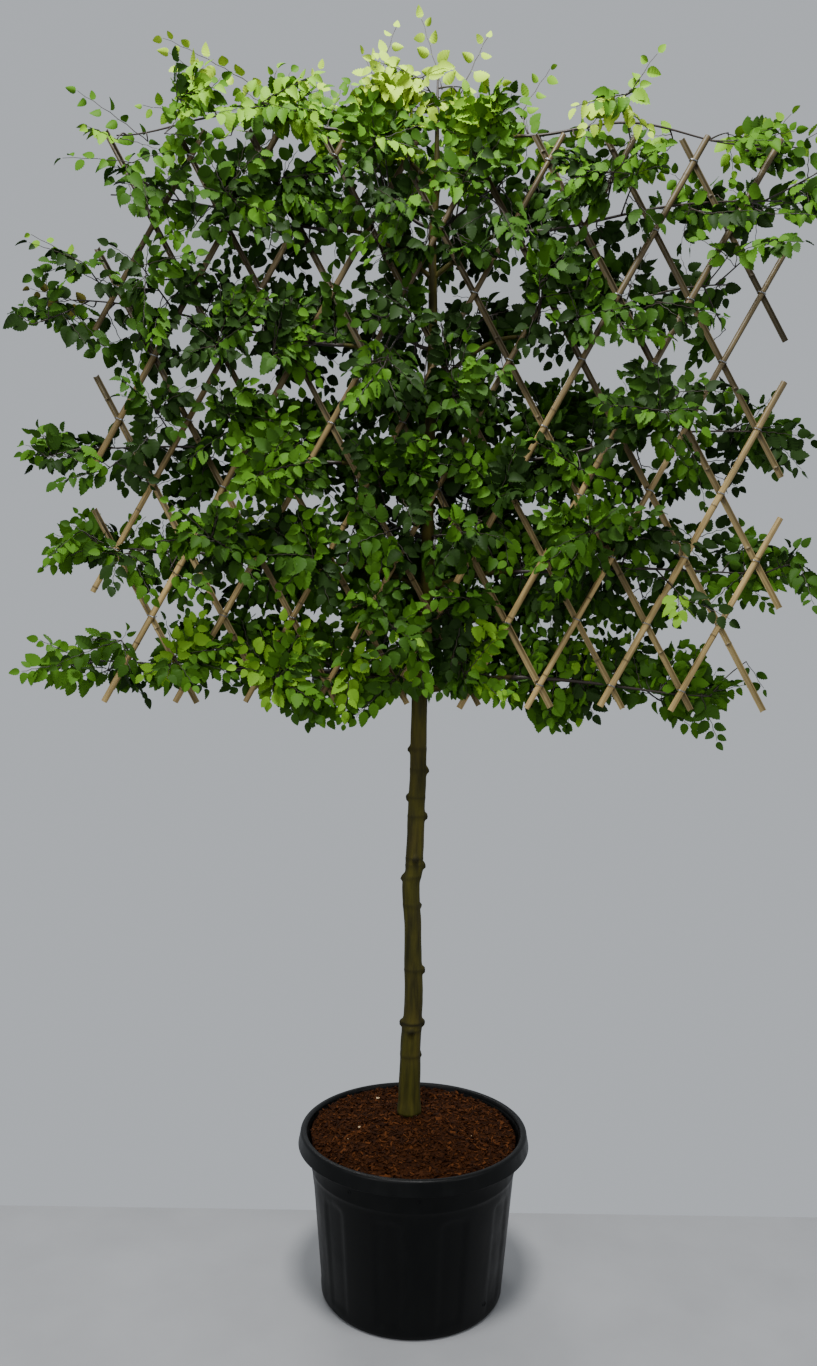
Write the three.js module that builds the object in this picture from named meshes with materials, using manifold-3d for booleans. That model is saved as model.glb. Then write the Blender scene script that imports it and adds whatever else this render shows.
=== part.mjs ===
// A container-grown European hornbeam, trained flat as an espalier on a lattice of split bamboo.
// Millimetres, +Z up. X runs along the flat crown and -Y is its front. The origin is the centre of
// the pot's flat underside.
import * as THREE from "three";
import { mergeVertices } from "three/addons/utils/BufferGeometryUtils.js";
import Module from "manifold-3d";

const wasm = await Module();
wasm.setup();

const { PI, sin, cos, abs, sqrt, min, max } = Math;
const GOLDEN_ANGLE = PI * (3 - sqrt(5));
const UP = new THREE.Vector3(0, 0, 1);
const point = (x, y, z) => new THREE.Vector3(x, y, z);
const lerp = (a, b, t) => a + (b - a) * t;

// Pieces that touch keep this gap.
const CLEAR = 0.3;

// The nursery pot: a tapered tub with a turned-down lip and 20 upright panels, every other one sunk.
const POT = {
  height: 457,
  footRadius: 248,
  baseRadius: 254,
  neckRadius: 290,
  neckHeight: 405,
  mouthRadius: 303,
  lipRadius: 325,
  lipFoot: 417,
  wall: 4,
  floor: 6,
  segments: 40,
  panels: 20,
  panelDepth: 3,
  panelFoot: 32,
  panelTop: 330,
  bevel: 8,
  lipWall: 5,
};

// The root ball fills the pot, and its bark mulch is heaped towards the stem: the heap's side is given
// as radius and height.
const SOIL = {
  rimHeight: 438,
  side: [
    [240, 450],
    [170, 464],
  ],
  crownHeight: 475,
  crownRadius: 112,
  segments: 20,
};

// The trunk's centreline, as height, sideways place and radius, from the mulch to the leader's tip.
// It stands a little behind the pot's middle, and above the clear stem its front stays on the lattice.
const TRUNK = {
  sides: 9,
  rings: 28,
  stations: [
    [475, -13, 33],
    [520, -13, 30],
    [647, -12, 28],
    [810, -5, 25],
    [1007, -10, 23],
    [1134, -18, 24],
    [1183, -9, 24],
    [1301, -6, 23.5],
    [1471, -2, 22.5],
    [1640, -1, 21.5],
    [2010, 15, 18],
    [2235, 15, 15.5],
    [2710, 21, 12.5],
    [2970, 16, 10.5],
    [3120, 26, 8.5],
    [3290, 24, 5.5],
  ],
};

// Healed collars of pruned side shoots: height, direction round the trunk in degrees (0 is +X and
// 270 the front), and radius.
const COLLARS = [
  [1525, 180, 9],
  [1465, 0, 10],
  [1387, 185, 10],
  [1333, -5, 11],
  [1212, 275, 9],
  [1191, 0, 10],
  [1157, 175, 10],
  [1076, 10, 6],
  [891, -5, 11],
  [737, 180, 11],
  [737, 0, 11],
  [718, 268, 10],
  [644, 0, 6],
];
// The share of a collar's radius that is sunk in the bark, and how much taller it is than wide.
const COLLAR = { sunk: 0.35, stretch: 1.2 };

// The lattice: two layers of half-round canes, round side out, whose flat sides meet where they cross.
const LATTICE = {
  left: -926,
  right: 1008,
  bottom: 1652,
  top: 3250,
  pitch: 200,
  steepness: 1.834,
  risingStart: -891,
  fallingStart: -629,
  perLayer: 12,
  risingBefore: 3,
  width: 19,
  thickness: 8,
  endSpread: 14,
  footSpread: 12,
  girthSpread: 0.2,
  // The back layer's round side lies on the front of the trunk and boughs at this depth.
  back: 28,
};

// Tiers of boughs from the lowest up: where each leaves the trunk, and for each side the height where
// its mass of foliage starts, the height and distance of the mass's tip, and the top of its space.
const TIERS = [
  { z: 1690, left: [1745, 1765, 1130, 1925], right: [1735, 1690, 1010, 1880] },
  { z: 1985, left: [2050, 2085, 1125, 2225], right: [2035, 2040, 1130, 2240] },
  { z: 2265, left: [2335, 2365, 1155, 2560], right: [2350, 2440, 1150, 2650] },
  { z: 2550, left: [2665, 2780, 1180, 2905], right: [2695, 2850, 1035, 2965] },
  { z: 2860, left: [2985, 3075, 1075, 3185], right: [2990, 3085, 1180, 3190] },
  { z: 3110, left: [3265, 3345, 1060, 3520], right: [3255, 3325, 1070, 3500] },
];
const CROWN = {
  bottom: 1560,
  front: -212,
  back: 268,
  top: 3625,
  // Boughs end and the outer masses start this far from the trunk's line.
  boughReach: 245,
  boughRadius: 11,
  // Each higher bough is thinner by this share, and its side lies this far behind the lattice.
  boughThinning: 0.06,
  boughGap: 2,
  stemRadius: 7,
  stemTipRadius: 4.2,
  trunkLine: 15,
};

// Inner masses fill the crown beside the trunk, one above another on each side: the floor of each, and
// the heights of its stem's root and tip. The last floor is that of the mass on top.
const INNER = {
  floors: [1560, 2000, 2420, 2850, 3330],
  stems: [
    [1840, 1905],
    [2130, 2200],
    [2660, 2760],
    [3000, 3110],
  ],
  reach: 190,
};

// Openings in the foliage, where the lattice and the sky show: middle, half width and half height.
const WINDOWS = [
  { x: 729, z: 2935, halfWidth: 110, halfHeight: 165 },
  { x: 915, z: 2800, halfWidth: 100, halfHeight: 130 },
  { x: 900, z: 1860, halfWidth: 125, halfHeight: 120 },
  { x: 640, z: 2560, halfWidth: 60, halfHeight: 70 },
  { x: -660, z: 2830, halfWidth: 115, halfHeight: 90 },
  { x: -850, z: 2590, halfWidth: 110, halfHeight: 110 },
  { x: -860, z: 2230, halfWidth: 105, halfHeight: 80 },
  { x: -960, z: 1930, halfWidth: 150, halfHeight: 85 },
  { x: -560, z: 2280, halfWidth: 60, halfHeight: 55 },
];

// A spray of leaves: one pointed blade, a little folded, and widest nearer its root. It faces outwards
// and up by these shares, and its size, droop, lift and turn vary by as much as `vary` says.
const SPRAY = {
  length: 205,
  width: 134,
  thickness: 8,
  widest: 0.42,
  sink: 2.2,
  droop: 0.15,
  shortest: 0.6,
  edge: 0.16,
  faceOut: 0.85,
  faceUp: 0.45,
  vary: { size: 0.14, droop: 0.25, lift: 0.3, turn: 0.35 },
};

// A twig tapers to a point beyond its last spray, and its root slides along the stem by short steps
// until it passes between the canes. It points away from the lattice by `outward` and up to
// `outwardMore`, fills this share of the room it has, and bears sprays along the given stretch, each
// forked from it by an angle in radians.
const TWIG = {
  radius: 3.4,
  beyond: 60,
  margin: 3,
  laneHalfWidth: 17,
  slide: 13,
  slides: 9,
  outward: 0.35,
  outwardMore: 0.5,
  fill: 0.85,
  firstSpray: 0.3,
  lastSpray: 0.98,
  fork: 1,
  faceOut: 0.75,
  faceUp: 0.6,
  vary: { place: 0.3, turn: 0.4, length: 0.15, fork: 0.45, lastFork: 0.4 },
};

const COLOURS = {
  pot: 0x26282b,
  soil: 0x5a3218,
  bark: 0x6d6a3c,
  cane: 0xb99b6b,
  leaf: 0x4f7d22,
};

// Solids from three.js geometry, and back.
function solidOf(geometry) {
  const bare = geometry.clone();
  bare.deleteAttribute("normal");
  bare.deleteAttribute("uv");
  const merged = mergeVertices(bare, 1e-3);
  return new wasm.Manifold(
    new wasm.Mesh({
      numProp: 3,
      vertProperties: merged.attributes.position.array,
      triVerts: new Uint32Array(merged.index.array),
    }),
  );
}

function geometryOf(solid) {
  const made = solid.getMesh();
  return new THREE.BufferGeometry()
    .setAttribute("position", new THREE.BufferAttribute(made.vertProperties, 3))
    .setIndex(new THREE.BufferAttribute(made.triVerts, 1));
}

// The main body of a solid, without any loose scrap.
const mainBody = (solid) => solid.decompose().reduce((a, b) => (a.volume() > b.volume() ? a : b));
const fuse = (solids) => mainBody(wasm.Manifold.union(solids));

// A repeatable sequence of numbers from 0 to 1.
function makeRandom(seed) {
  let state = seed >>> 0;
  return () => {
    state = (Math.imul(state, 1664525) + 1013904223) >>> 0;
    return state / 4294967296;
  };
}

// Moves every vertex of a geometry by a function of its place.
function reshape(geometry, move) {
  const at = geometry.attributes.position;
  const v = new THREE.Vector3();
  for (let i = 0; i < at.count; i++) {
    move(v.fromBufferAttribute(at, i));
    at.setXYZ(i, v.x, v.y, v.z);
  }
  return geometry;
}

// A closed cylinder bent along a centreline, with its radius by the share of the way along. The rings
// are level if the limb is upright, and otherwise square to the line.
function limb(centreAt, radiusAt, sides, rings, upright = false) {
  const step = 1e-3;
  const bent = new THREE.CylinderGeometry(1, 1, 1, sides, rings);
  return reshape(bent, (v) => {
    const t = v.y + 0.5;
    const along = centreAt(min(t + step, 1)).sub(centreAt(max(t - step, 0))).normalize();
    const tangent = upright ? UP : along;
    const across = upright ? point(1, 0, 0) : tangent.clone().cross(UP).normalize();
    const third = across.clone().cross(tangent);
    const radius = radiusAt(t);
    const place = centreAt(t).addScaledVector(across, v.x * radius);
    v.copy(place.addScaledVector(third, v.z * radius));
  });
}

// Value of column n of a list of stations, by height, joined smoothly.
function stationValue(stations, z, n) {
  const above = stations.findIndex((station) => station[0] > z);
  const i = above < 0 ? stations.length - 2 : max(0, above - 1);
  const [a, b] = [stations[i], stations[i + 1]];
  const t = max(0, min(1, (z - a[0]) / (b[0] - a[0])));
  return lerp(a[n], b[n], t * t * (3 - 2 * t));
}

const trunkRadius = (z) => stationValue(TRUNK.stations, z, 2);

// The trunk's centre at a height. In the crown its front follows the lattice's back.
function trunkCentre(z) {
  const behind = LATTICE.back + CLEAR + trunkRadius(max(z, LATTICE.bottom));
  return point(stationValue(TRUNK.stations, z, 1), behind, z);
}

function makeTrunk() {
  const foot = SOIL.crownHeight + CLEAR;
  const tip = TRUNK.stations.at(-1)[0];
  const centreAt = (t) => trunkCentre(lerp(foot, tip, t));
  const radiusAt = (t) => trunkRadius(lerp(foot, tip, t));
  const stem = limb(centreAt, radiusAt, TRUNK.sides, TRUNK.rings, true);
  const collars = COLLARS.map(([z, degrees, radius]) => {
    const turn = THREE.MathUtils.degToRad(degrees);
    const out = trunkRadius(z) - radius * COLLAR.sunk;
    const at = trunkCentre(z).add(point(cos(turn) * out, sin(turn) * out, 0));
    const bump = new THREE.OctahedronGeometry(radius, 1).scale(1, 1, COLLAR.stretch);
    return solidOf(bump.translate(at.x, at.y, at.z));
  });
  return fuse([solidOf(stem), ...collars]);
}

// The trunk without its collars, a little thicker than it is.
function thickTrunk(extra) {
  const heightAt = (t) => lerp(SOIL.crownHeight, TRUNK.stations.at(-1)[0], t);
  const centreAt = (t) => trunkCentre(heightAt(t));
  const radiusAt = (t) => trunkRadius(heightAt(t)) + extra;
  return solidOf(limb(centreAt, radiusAt, TRUNK.sides, TRUNK.rings, true));
}

// A limb cut off where it meets the trunk's bark.
const trunkSeat = thickTrunk(CLEAR);
const seat = (geometry) => mainBody(solidOf(geometry).subtract(trunkSeat));

// The radius of the pot's wall outside and inside, up to its neck.
const potOutside = (z) => lerp(POT.baseRadius, POT.neckRadius, z / POT.neckHeight);
const potInside = (z) => potOutside(z) - POT.wall;

// The pot's outline from the middle of its underside, round the lip, to the middle of its floor.
function potOutline() {
  const { bevel, lipWall } = POT;
  const wallHeights = [
    bevel,
    POT.panelFoot,
    POT.panelFoot + bevel,
    POT.panelTop - bevel,
    POT.panelTop,
    POT.neckHeight,
  ];
  return [
    [0, 0],
    [POT.footRadius, 0],
    ...wallHeights.map((z) => [potOutside(z), z]),
    [POT.mouthRadius - lipWall, POT.height - 2 * lipWall],
    [POT.lipRadius - 2 * lipWall, POT.lipFoot + 2 * lipWall],
    [POT.lipRadius - lipWall, POT.lipFoot],
    [POT.lipRadius, POT.lipFoot],
    [POT.lipRadius - bevel, POT.height - bevel / 2],
    [POT.mouthRadius + bevel / 2, POT.height],
    [POT.mouthRadius - bevel / 2, POT.height - bevel / 2],
    [potInside(POT.neckHeight), POT.neckHeight],
    [potInside(POT.floor), POT.floor],
    [0, POT.floor],
  ];
}

const lathe = (outline, segments) =>
  new THREE.LatheGeometry(
    outline.map(([r, z]) => new THREE.Vector2(r, z)),
    segments,
  ).rotateX(PI / 2);

function makePot() {
  const tub = lathe(potOutline(), POT.segments);
  const perPanel = POT.segments / POT.panels;
  return reshape(tub, (v) => {
    const radius = Math.hypot(v.x, v.y);
    const onPanel = v.z > POT.panelFoot + 1 && v.z < POT.panelTop - 1;
    const outside = radius > potOutside(v.z) - POT.wall / 2;
    const turn = Math.round((Math.atan2(v.y, v.x) / (2 * PI) + 1) * POT.segments);
    const sunk = Math.floor(turn / perPanel) % 2 === 0;
    if (onPanel && outside && sunk) {
      v.x *= 1 - POT.panelDepth / radius;
      v.y *= 1 - POT.panelDepth / radius;
    }
  });
}

function makeSoil() {
  const foot = POT.floor + CLEAR;
  return lathe(
    [
      [0, foot],
      [potInside(foot) - 2 * CLEAR, foot],
      [potInside(POT.neckHeight) - 2 * CLEAR, POT.neckHeight],
      [POT.neckRadius, SOIL.rimHeight],
      ...SOIL.side,
      [SOIL.crownRadius, SOIL.crownHeight],
      [0, SOIL.crownHeight],
    ],
    SOIL.segments,
  );
}

// A half-round cane between two points of the lattice's plane. Its flat side lies at the given depth,
// and its round side goes out to the front or the back.
function makeCane(foot, tip, flatAt, outward, scale) {
  const arcSteps = 4;
  const section = new THREE.Shape();
  for (let i = 0; i <= arcSteps; i++) {
    const turn = (PI * i) / arcSteps;
    const x = (cos(turn) * LATTICE.width * scale) / 2;
    const y = sin(turn) * LATTICE.thickness;
    i ? section.lineTo(x, y) : section.moveTo(x, y);
  }
  const along = tip.clone().sub(foot);
  const cane = new THREE.ExtrudeGeometry(section, { depth: along.length(), bevelEnabled: false });
  const length = along.clone().normalize();
  const out = point(0, outward, 0);
  const across = out.clone().cross(length);
  const frame = new THREE.Matrix4().makeBasis(across, out, length);
  return cane.applyMatrix4(frame.setPosition(foot.x, flatAt, foot.z));
}

// The canes of one layer, each cut off at the edges of the lattice, a little unevenly.
function layOutCanes() {
  const canes = [];
  for (const rising of [true, false]) {
    const random = makeRandom(rising ? 11 : 23);
    const lean = rising ? 1 : -1;
    for (let k = 0; k < LATTICE.perLayer; k++) {
      const start = rising
        ? LATTICE.risingStart + (k - LATTICE.risingBefore) * LATTICE.pitch
        : LATTICE.fallingStart + k * LATTICE.pitch;
      const [slip, lower, upper, girth] = [random(), random(), random(), random()];
      const foot = start + (slip - 0.5) * LATTICE.footSpread;
      const xAt = (z) => foot + (lean * (z - LATTICE.bottom)) / LATTICE.steepness;
      const zAt = (x) => LATTICE.bottom + lean * (x - foot) * LATTICE.steepness;
      const [leftZ, rightZ] = [zAt(LATTICE.left), zAt(LATTICE.right)];
      const low = max(LATTICE.bottom, min(leftZ, rightZ)) + (lower - 0.5) * LATTICE.endSpread;
      const high = min(LATTICE.top, max(leftZ, rightZ)) + (upper - 0.5) * LATTICE.endSpread;
      canes.push({
        name: `cane_${rising ? "front" : "back"}_${k + 1}`,
        foot: point(xAt(low), 0, low),
        tip: point(xAt(high), 0, high),
        rising,
        girth: 1 + (girth - 0.5) * LATTICE.girthSpread,
      });
    }
  }
  return canes;
}

const backFlat = LATTICE.back - LATTICE.thickness - CLEAR;
function caneGeometry(cane, grow = 0) {
  const flatAt = cane.rising ? backFlat - CLEAR : backFlat;
  const outward = cane.rising ? -1 : 1;
  const made = makeCane(cane.foot, cane.tip, flatAt, outward, cane.girth);
  return grow ? reshape(made, (v) => fattenCane(v, cane, grow)) : made;
}

// Spreads a cane's surface away from its own centreline.
function fattenCane(v, cane, grow) {
  const along = cane.tip.clone().sub(cane.foot).normalize();
  const middle = cane.rising ? backFlat - LATTICE.thickness / 2 : backFlat + LATTICE.thickness / 2;
  const centre = point(cane.foot.x, middle, cane.foot.z);
  const reach = v.clone().sub(centre);
  const radial = reach.clone().addScaledVector(along, -reach.dot(along));
  v.addScaledVector(radial.normalize(), grow);
}

// A bough from inside the trunk's side to the start of its mass, on the back of the lattice.
function boughOf(tier, index, side) {
  const sign = side === "left" ? -1 : 1;
  const [startHeight] = tier[side];
  const thin = 1 - index * CROWN.boughThinning;
  const radiusAt = (t) => lerp(CROWN.boughRadius, CROWN.stemRadius, sqrt(t)) * thin;
  const root = trunkCentre(tier.z).x + (sign * trunkRadius(tier.z)) / 2;
  const end = CROWN.trunkLine + sign * CROWN.boughReach;
  const centreAt = (t) => {
    const behind = LATTICE.back + CROWN.boughGap + radiusAt(t);
    return point(lerp(root, end, t), behind, lerp(tier.z, startHeight, sin((t * PI) / 2)));
  };
  return { name: `bough_${side}_${index + 1}`, centreAt, radiusAt, sign };
}

// Whether a twig that heads for the front from behind the lattice would run into a cane.
function meetsCane(root, heading) {
  const leastForward = 0.15;
  if (heading.y > -leastForward) return false;
  const across = sin(Math.atan(LATTICE.steepness));
  return [1, -1].some((lean) => {
    const depth = backFlat - (lean * LATTICE.thickness) / 2;
    const at = root.clone().addScaledVector(heading, (depth - root.y) / heading.y);
    const start = lean > 0 ? LATTICE.risingStart : LATTICE.fallingStart;
    const pitches = (at.x - start - (lean * (at.z - LATTICE.bottom)) / LATTICE.steepness) / LATTICE.pitch;
    return abs(pitches - Math.round(pitches)) * LATTICE.pitch * across < TWIG.laneHalfWidth;
  });
}

// Grows one mass by the seeded rule: twigs set round its stem by the golden angle, each with sprays on
// alternate sides and one at its tip, and a spray that ends the stem. Every twig leads away from the
// lattice's plane, to the front or the back, and a spray bends to stay on its side of the lattice and in
// the mass's space. The same numbers are drawn whatever is kept.
function growMass(mass) {
  const random = makeRandom(mass.seed);
  const spread = (range) => (random() - 0.5) * 2 * range;
  const margin = SPRAY.width * SPRAY.edge;
  const low = mass.space.min.clone().addScalar(margin);
  const high = mass.space.max.clone().addScalar(-margin);
  const room = (at, heading, axis) =>
    ((heading[axis] > 0 ? high[axis] : low[axis]) - at[axis]) / heading[axis];
  const twigs = [];
  const sprays = [];
  const addSpray = (root, direction, twig) => {
    const { vary } = SPRAY;
    const fullSize = SPRAY.length * (1 + spread(vary.size));
    direction.z -= SPRAY.droop + spread(vary.droop);
    direction.normalize();
    const [lift, turn] = [spread(vary.lift), spread(vary.turn)];
    const behind = root.y > backFlat;
    const nearest = point(low.x, behind ? LATTICE.back + margin / 2 : low.y, low.z);
    const furthest = point(high.x, behind ? high.y : backFlat - LATTICE.thickness - margin / 2, high.z);
    direction.clamp(
      nearest.sub(root).divideScalar(fullSize),
      furthest.sub(root).divideScalar(fullSize),
    );
    const share = direction.length();
    const normal = point(turn, behind ? SPRAY.faceOut : -SPRAY.faceOut, SPRAY.faceUp + lift);
    if (share < SPRAY.shortest) return;
    sprays.push({ root, direction: direction.normalize(), normal, size: fullSize * share, twig });
  };
  const { vary } = TWIG;
  const near = 0.02;
  for (let i = 0; i < mass.twigs; i++) {
    const t = (i + 0.5 + spread(vary.place)) / mass.twigs;
    const turn = i * GOLDEN_ANGLE + mass.seed + spread(vary.turn);
    const away = i % 2 ? 1 : -1;
    const root = mass.stemAt(t);
    const heading = mass.stemAt(t + near).sub(mass.stemAt(t - near)).normalize();
    const slide = heading.clone().multiplyScalar(TWIG.slide);
    heading.multiplyScalar(lerp(mass.leanIn, mass.leanOut, t));
    heading.addScaledVector(mass.sideways, cos(turn) * mass.lift);
    heading.y += away * (TWIG.outward + TWIG.outwardMore * abs(sin(turn)));
    heading.normalize();
    for (let k = 0; k < TWIG.slides && meetsCane(root, heading); k++) root.add(slide);
    const reach = min(room(root, heading, "x"), room(root, heading, "y"), room(root, heading, "z"));
    const length = min(reach * TWIG.fill, mass.twigLength) * (1 - vary.length + spread(vary.length));
    const tip = root.clone().addScaledVector(heading, length);
    twigs.push({ root, tip });
    const count = max(2, Math.round(length / mass.sprayStep));
    const facing = point(0, away * TWIG.faceOut, TWIG.faceUp);
    const side = heading.clone().cross(facing).normalize();
    for (let j = 0; j < count; j++) {
      const last = j === count - 1;
      const varied = spread(last ? vary.lastFork : vary.fork);
      const fork = last ? varied : (j % 2 ? 1 : -1) * (TWIG.fork + varied);
      const direction = heading.clone().multiplyScalar(cos(fork)).addScaledVector(side, sin(fork));
      const share = lerp(TWIG.firstSpray, TWIG.lastSpray, (j + 1) / count);
      addSpray(root.clone().lerp(tip, share), direction, i);
    }
  }
  const end = mass.stemAt(1);
  addSpray(end, end.clone().sub(mass.stemAt(1 - 2 * near)).normalize(), -1);
  return { twigs, sprays };
}

// A spray as a folded blade of four faces, its pointed root sunk in the twig.
function sprayGeometry({ root, direction, normal, size }) {
  const halfWidth = (SPRAY.width * size) / SPRAY.length / 2;
  const blade = reshape(new THREE.TetrahedronGeometry(1), (v) => {
    const firstOfPair = v.x > 0;
    if (v.z > 0) v.set(firstOfPair ? halfWidth : -halfWidth, SPRAY.widest * size, SPRAY.thickness);
    else v.set(0, firstOfPair ? -SPRAY.sink : size - SPRAY.sink, 0);
  });
  const across = direction.clone().cross(normal).normalize();
  const face = across.clone().cross(direction);
  const frame = new THREE.Matrix4().makeBasis(across, direction, face);
  return blade.applyMatrix4(frame.setPosition(root));
}

// A straight three-sided twig.
function twigGeometry({ root, tip }) {
  const along = tip.clone().sub(root);
  const twig = new THREE.ConeGeometry(TWIG.radius, along.length() + TWIG.beyond, 3, 1);
  const turn = new THREE.Quaternion().setFromUnitVectors(point(0, 1, 0), along.normalize());
  const middle = root.clone().lerp(tip, 0.5).addScaledVector(along, TWIG.beyond / 2);
  return twig.applyQuaternion(turn).translate(middle.x, middle.y, middle.z);
}

const insideSpace = (geometry, space) => {
  geometry.computeBoundingBox();
  return space.containsBox(geometry.boundingBox);
};

function inWindow({ root, direction, size }) {
  const middle = root.clone().addScaledVector(direction, size / 2);
  return WINDOWS.some((w) => {
    const across = (middle.x - w.x) / w.halfWidth;
    const upward = (middle.z - w.z) / w.halfHeight;
    return across * across + upward * upward < 1;
  });
}

// Whether two solids share any space, with their boxes compared first.
function meet(a, b) {
  const [boxA, boxB] = [a.boundingBox(), b.boundingBox()];
  const apart = [0, 1, 2].some((i) => boxA.min[i] > boxB.max[i] || boxB.min[i] > boxA.max[i]);
  return !apart && !a.intersect(b).isEmpty();
}

// One mass as one solid: its stem, the sprays that stay in the mass's space, clear of the limbs and of
// the sprays before them, and the twigs that carry them.
function makeMass(mass, keepOut) {
  const { twigs, sprays } = growMass(mass);
  const stem = seat(limb(mass.stemAt, mass.stemRadiusAt, 4, 4, mass.upright));
  const twigSolids = twigs.map((twig) => solidOf(twigGeometry(twig)));
  const clear = twigSolids.map((solid) => !meet(solid, keepOut));
  const blades = [];
  const bearing = new Set();
  for (const spray of sprays) {
    const blade = sprayGeometry(spray);
    const bare = clear[spray.twig] === false || inWindow(spray);
    if (bare || !insideSpace(blade, mass.space)) continue;
    const solid = solidOf(blade);
    if ([keepOut, ...blades].some((other) => meet(solid, other))) continue;
    blades.push(solid);
    bearing.add(spray.twig);
  }
  return fuse([stem, ...twigSolids.filter((_, i) => bearing.has(i)), ...blades]);
}

// The stem of a mass as a gentle arch that leaves its root and reaches its tip level.
function arch(root, tip, rise) {
  return (t) => {
    const at = root.clone().lerp(tip, t);
    at.z = lerp(root.z, tip.z, t * t * (3 - 2 * t)) + rise * sin(PI * t) ** 2;
    return at;
  };
}

function outerMass(bough, tier, index, side, floorHeight) {
  const [, tipHeight, tipOut, ceiling] = tier[side];
  const edge = CROWN.trunkLine + bough.sign * (CROWN.boughReach + CLEAR / 2);
  const outEdge = bough.sign * (tipOut + 6);
  const root = bough.centreAt(1).add(point(bough.sign * CLEAR, 0, 0));
  const tip = point(bough.sign * (tipOut - SPRAY.length * 0.9), root.y, tipHeight);
  const stemRadius = bough.radiusAt(1);
  const middle = (floorHeight + ceiling) / 2;
  return {
    name: `foliage_${side}_${index + 1}`,
    seed: 100 + index * 2 + (side === "left" ? 0 : 1),
    twigs: 11,
    twigLength: 230,
    sprayStep: 47,
    leanIn: -0.1,
    leanOut: 0.8,
    lift: 1,
    sideways: UP,
    stemAt: arch(root, tip, (middle - (root.z + tip.z) / 2) * 0.5),
    stemRadiusAt: (t) => lerp(stemRadius, CROWN.stemTipRadius, t),
    space: new THREE.Box3(
      point(min(edge, outEdge), CROWN.front, floorHeight + 1),
      point(max(edge, outEdge), CROWN.back, ceiling - 1),
    ),
  };
}

function innerMass(index, side) {
  const sign = side === "left" ? -1 : 1;
  const [floorHeight, ceiling] = [INNER.floors[index], INNER.floors[index + 1]];
  const [rootHeight, tipHeight] = INNER.stems[index];
  const trunk = trunkCentre(rootHeight);
  const root = point(trunk.x + (sign * trunkRadius(rootHeight)) / 2, trunk.y, rootHeight);
  const tip = point(CROWN.trunkLine + sign * INNER.reach, trunk.y, tipHeight);
  const edge = CROWN.trunkLine + sign * (CROWN.boughReach - 1);
  const middle = CROWN.trunkLine + sign;
  return {
    name: `foliage_inner_${side}_${index + 1}`,
    seed: 300 + index * 2 + (side === "left" ? 0 : 1),
    twigs: 15,
    twigLength: 230,
    sprayStep: 47,
    leanIn: 0.1,
    leanOut: 0.5,
    lift: 1.2,
    sideways: UP,
    stemAt: arch(root, tip, 0),
    stemRadiusAt: (t) => lerp(CROWN.stemRadius, CROWN.stemTipRadius, t),
    space: new THREE.Box3(
      point(min(edge, middle), CROWN.front, floorHeight + 1),
      point(max(edge, middle), CROWN.back, ceiling - 1),
    ),
  };
}

function topMass() {
  const leader = TRUNK.stations.at(-1)[0];
  const foot = trunkCentre(leader);
  const root = foot.clone().add(point(0, 0, CLEAR));
  const half = CROWN.boughReach - 1;
  return {
    name: "foliage_top",
    seed: 500,
    twigs: 12,
    twigLength: 270,
    sprayStep: 50,
    leanIn: 0.1,
    leanOut: 0.7,
    lift: 1.5,
    sideways: point(1, 0, 0),
    upright: true,
    stemAt: (t) => root.clone().lerp(point(foot.x, foot.y, CROWN.top - SPRAY.length * 0.9), t),
    stemRadiusAt: (t) => lerp(TRUNK.stations.at(-1)[2], CROWN.stemTipRadius, t),
    space: new THREE.Box3(
      point(CROWN.trunkLine - half, CROWN.front, INNER.floors.at(-1) + 1),
      point(CROWN.trunkLine + half, CROWN.back, CROWN.top),
    ),
  };
}

const tree = new THREE.Group();

function addPiece(name, geometry, colour, roughness) {
  const material = new THREE.MeshStandardMaterial({ color: colour, roughness, metalness: 0 });
  const mesh = new THREE.Mesh(geometry, material);
  mesh.name = name;
  tree.add(mesh);
}

addPiece("pot", makePot(), COLOURS.pot, 0.45);
addPiece("root_ball", makeSoil(), COLOURS.soil, 0.95);

const trunkSolid = makeTrunk();
addPiece("trunk", geometryOf(trunkSolid), COLOURS.bark, 0.8);

const canes = layOutCanes();
for (const cane of canes) addPiece(cane.name, caneGeometry(cane), COLOURS.cane, 0.6);

const boughs = { left: [], right: [] };
for (const side of ["left", "right"]) {
  TIERS.forEach((tier, index) => {
    const bough = boughOf(tier, index, side);
    const solid = seat(limb(bough.centreAt, bough.radiusAt, 6, 5));
    boughs[side].push(bough);
    addPiece(bough.name, geometryOf(solid), COLOURS.bark, 0.8);
  });
}

// What the foliage has to stay clear of, a little fatter than it is.
const thickBough = ({ centreAt, radiusAt }) =>
  solidOf(limb(centreAt, (t) => radiusAt(t) + TWIG.margin, 6, 5));
const keepOut = wasm.Manifold.union([
  ...canes.map((cane) => solidOf(caneGeometry(cane, TWIG.margin / 2))),
  ...[...boughs.left, ...boughs.right].map(thickBough),
  thickTrunk(TWIG.margin),
]);

const masses = [topMass()];
for (const side of ["left", "right"]) {
  TIERS.forEach((tier, index) => {
    const floorHeight = index ? TIERS[index - 1][side][3] : CROWN.bottom;
    masses.push(outerMass(boughs[side][index], tier, index, side, floorHeight));
  });
  INNER.stems.forEach((_, index) => masses.push(innerMass(index, side)));
}
for (const mass of masses) {
  addPiece(mass.name, geometryOf(makeMass(mass, keepOut)), COLOURS.leaf, 0.55);
}

export default tree;
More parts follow.
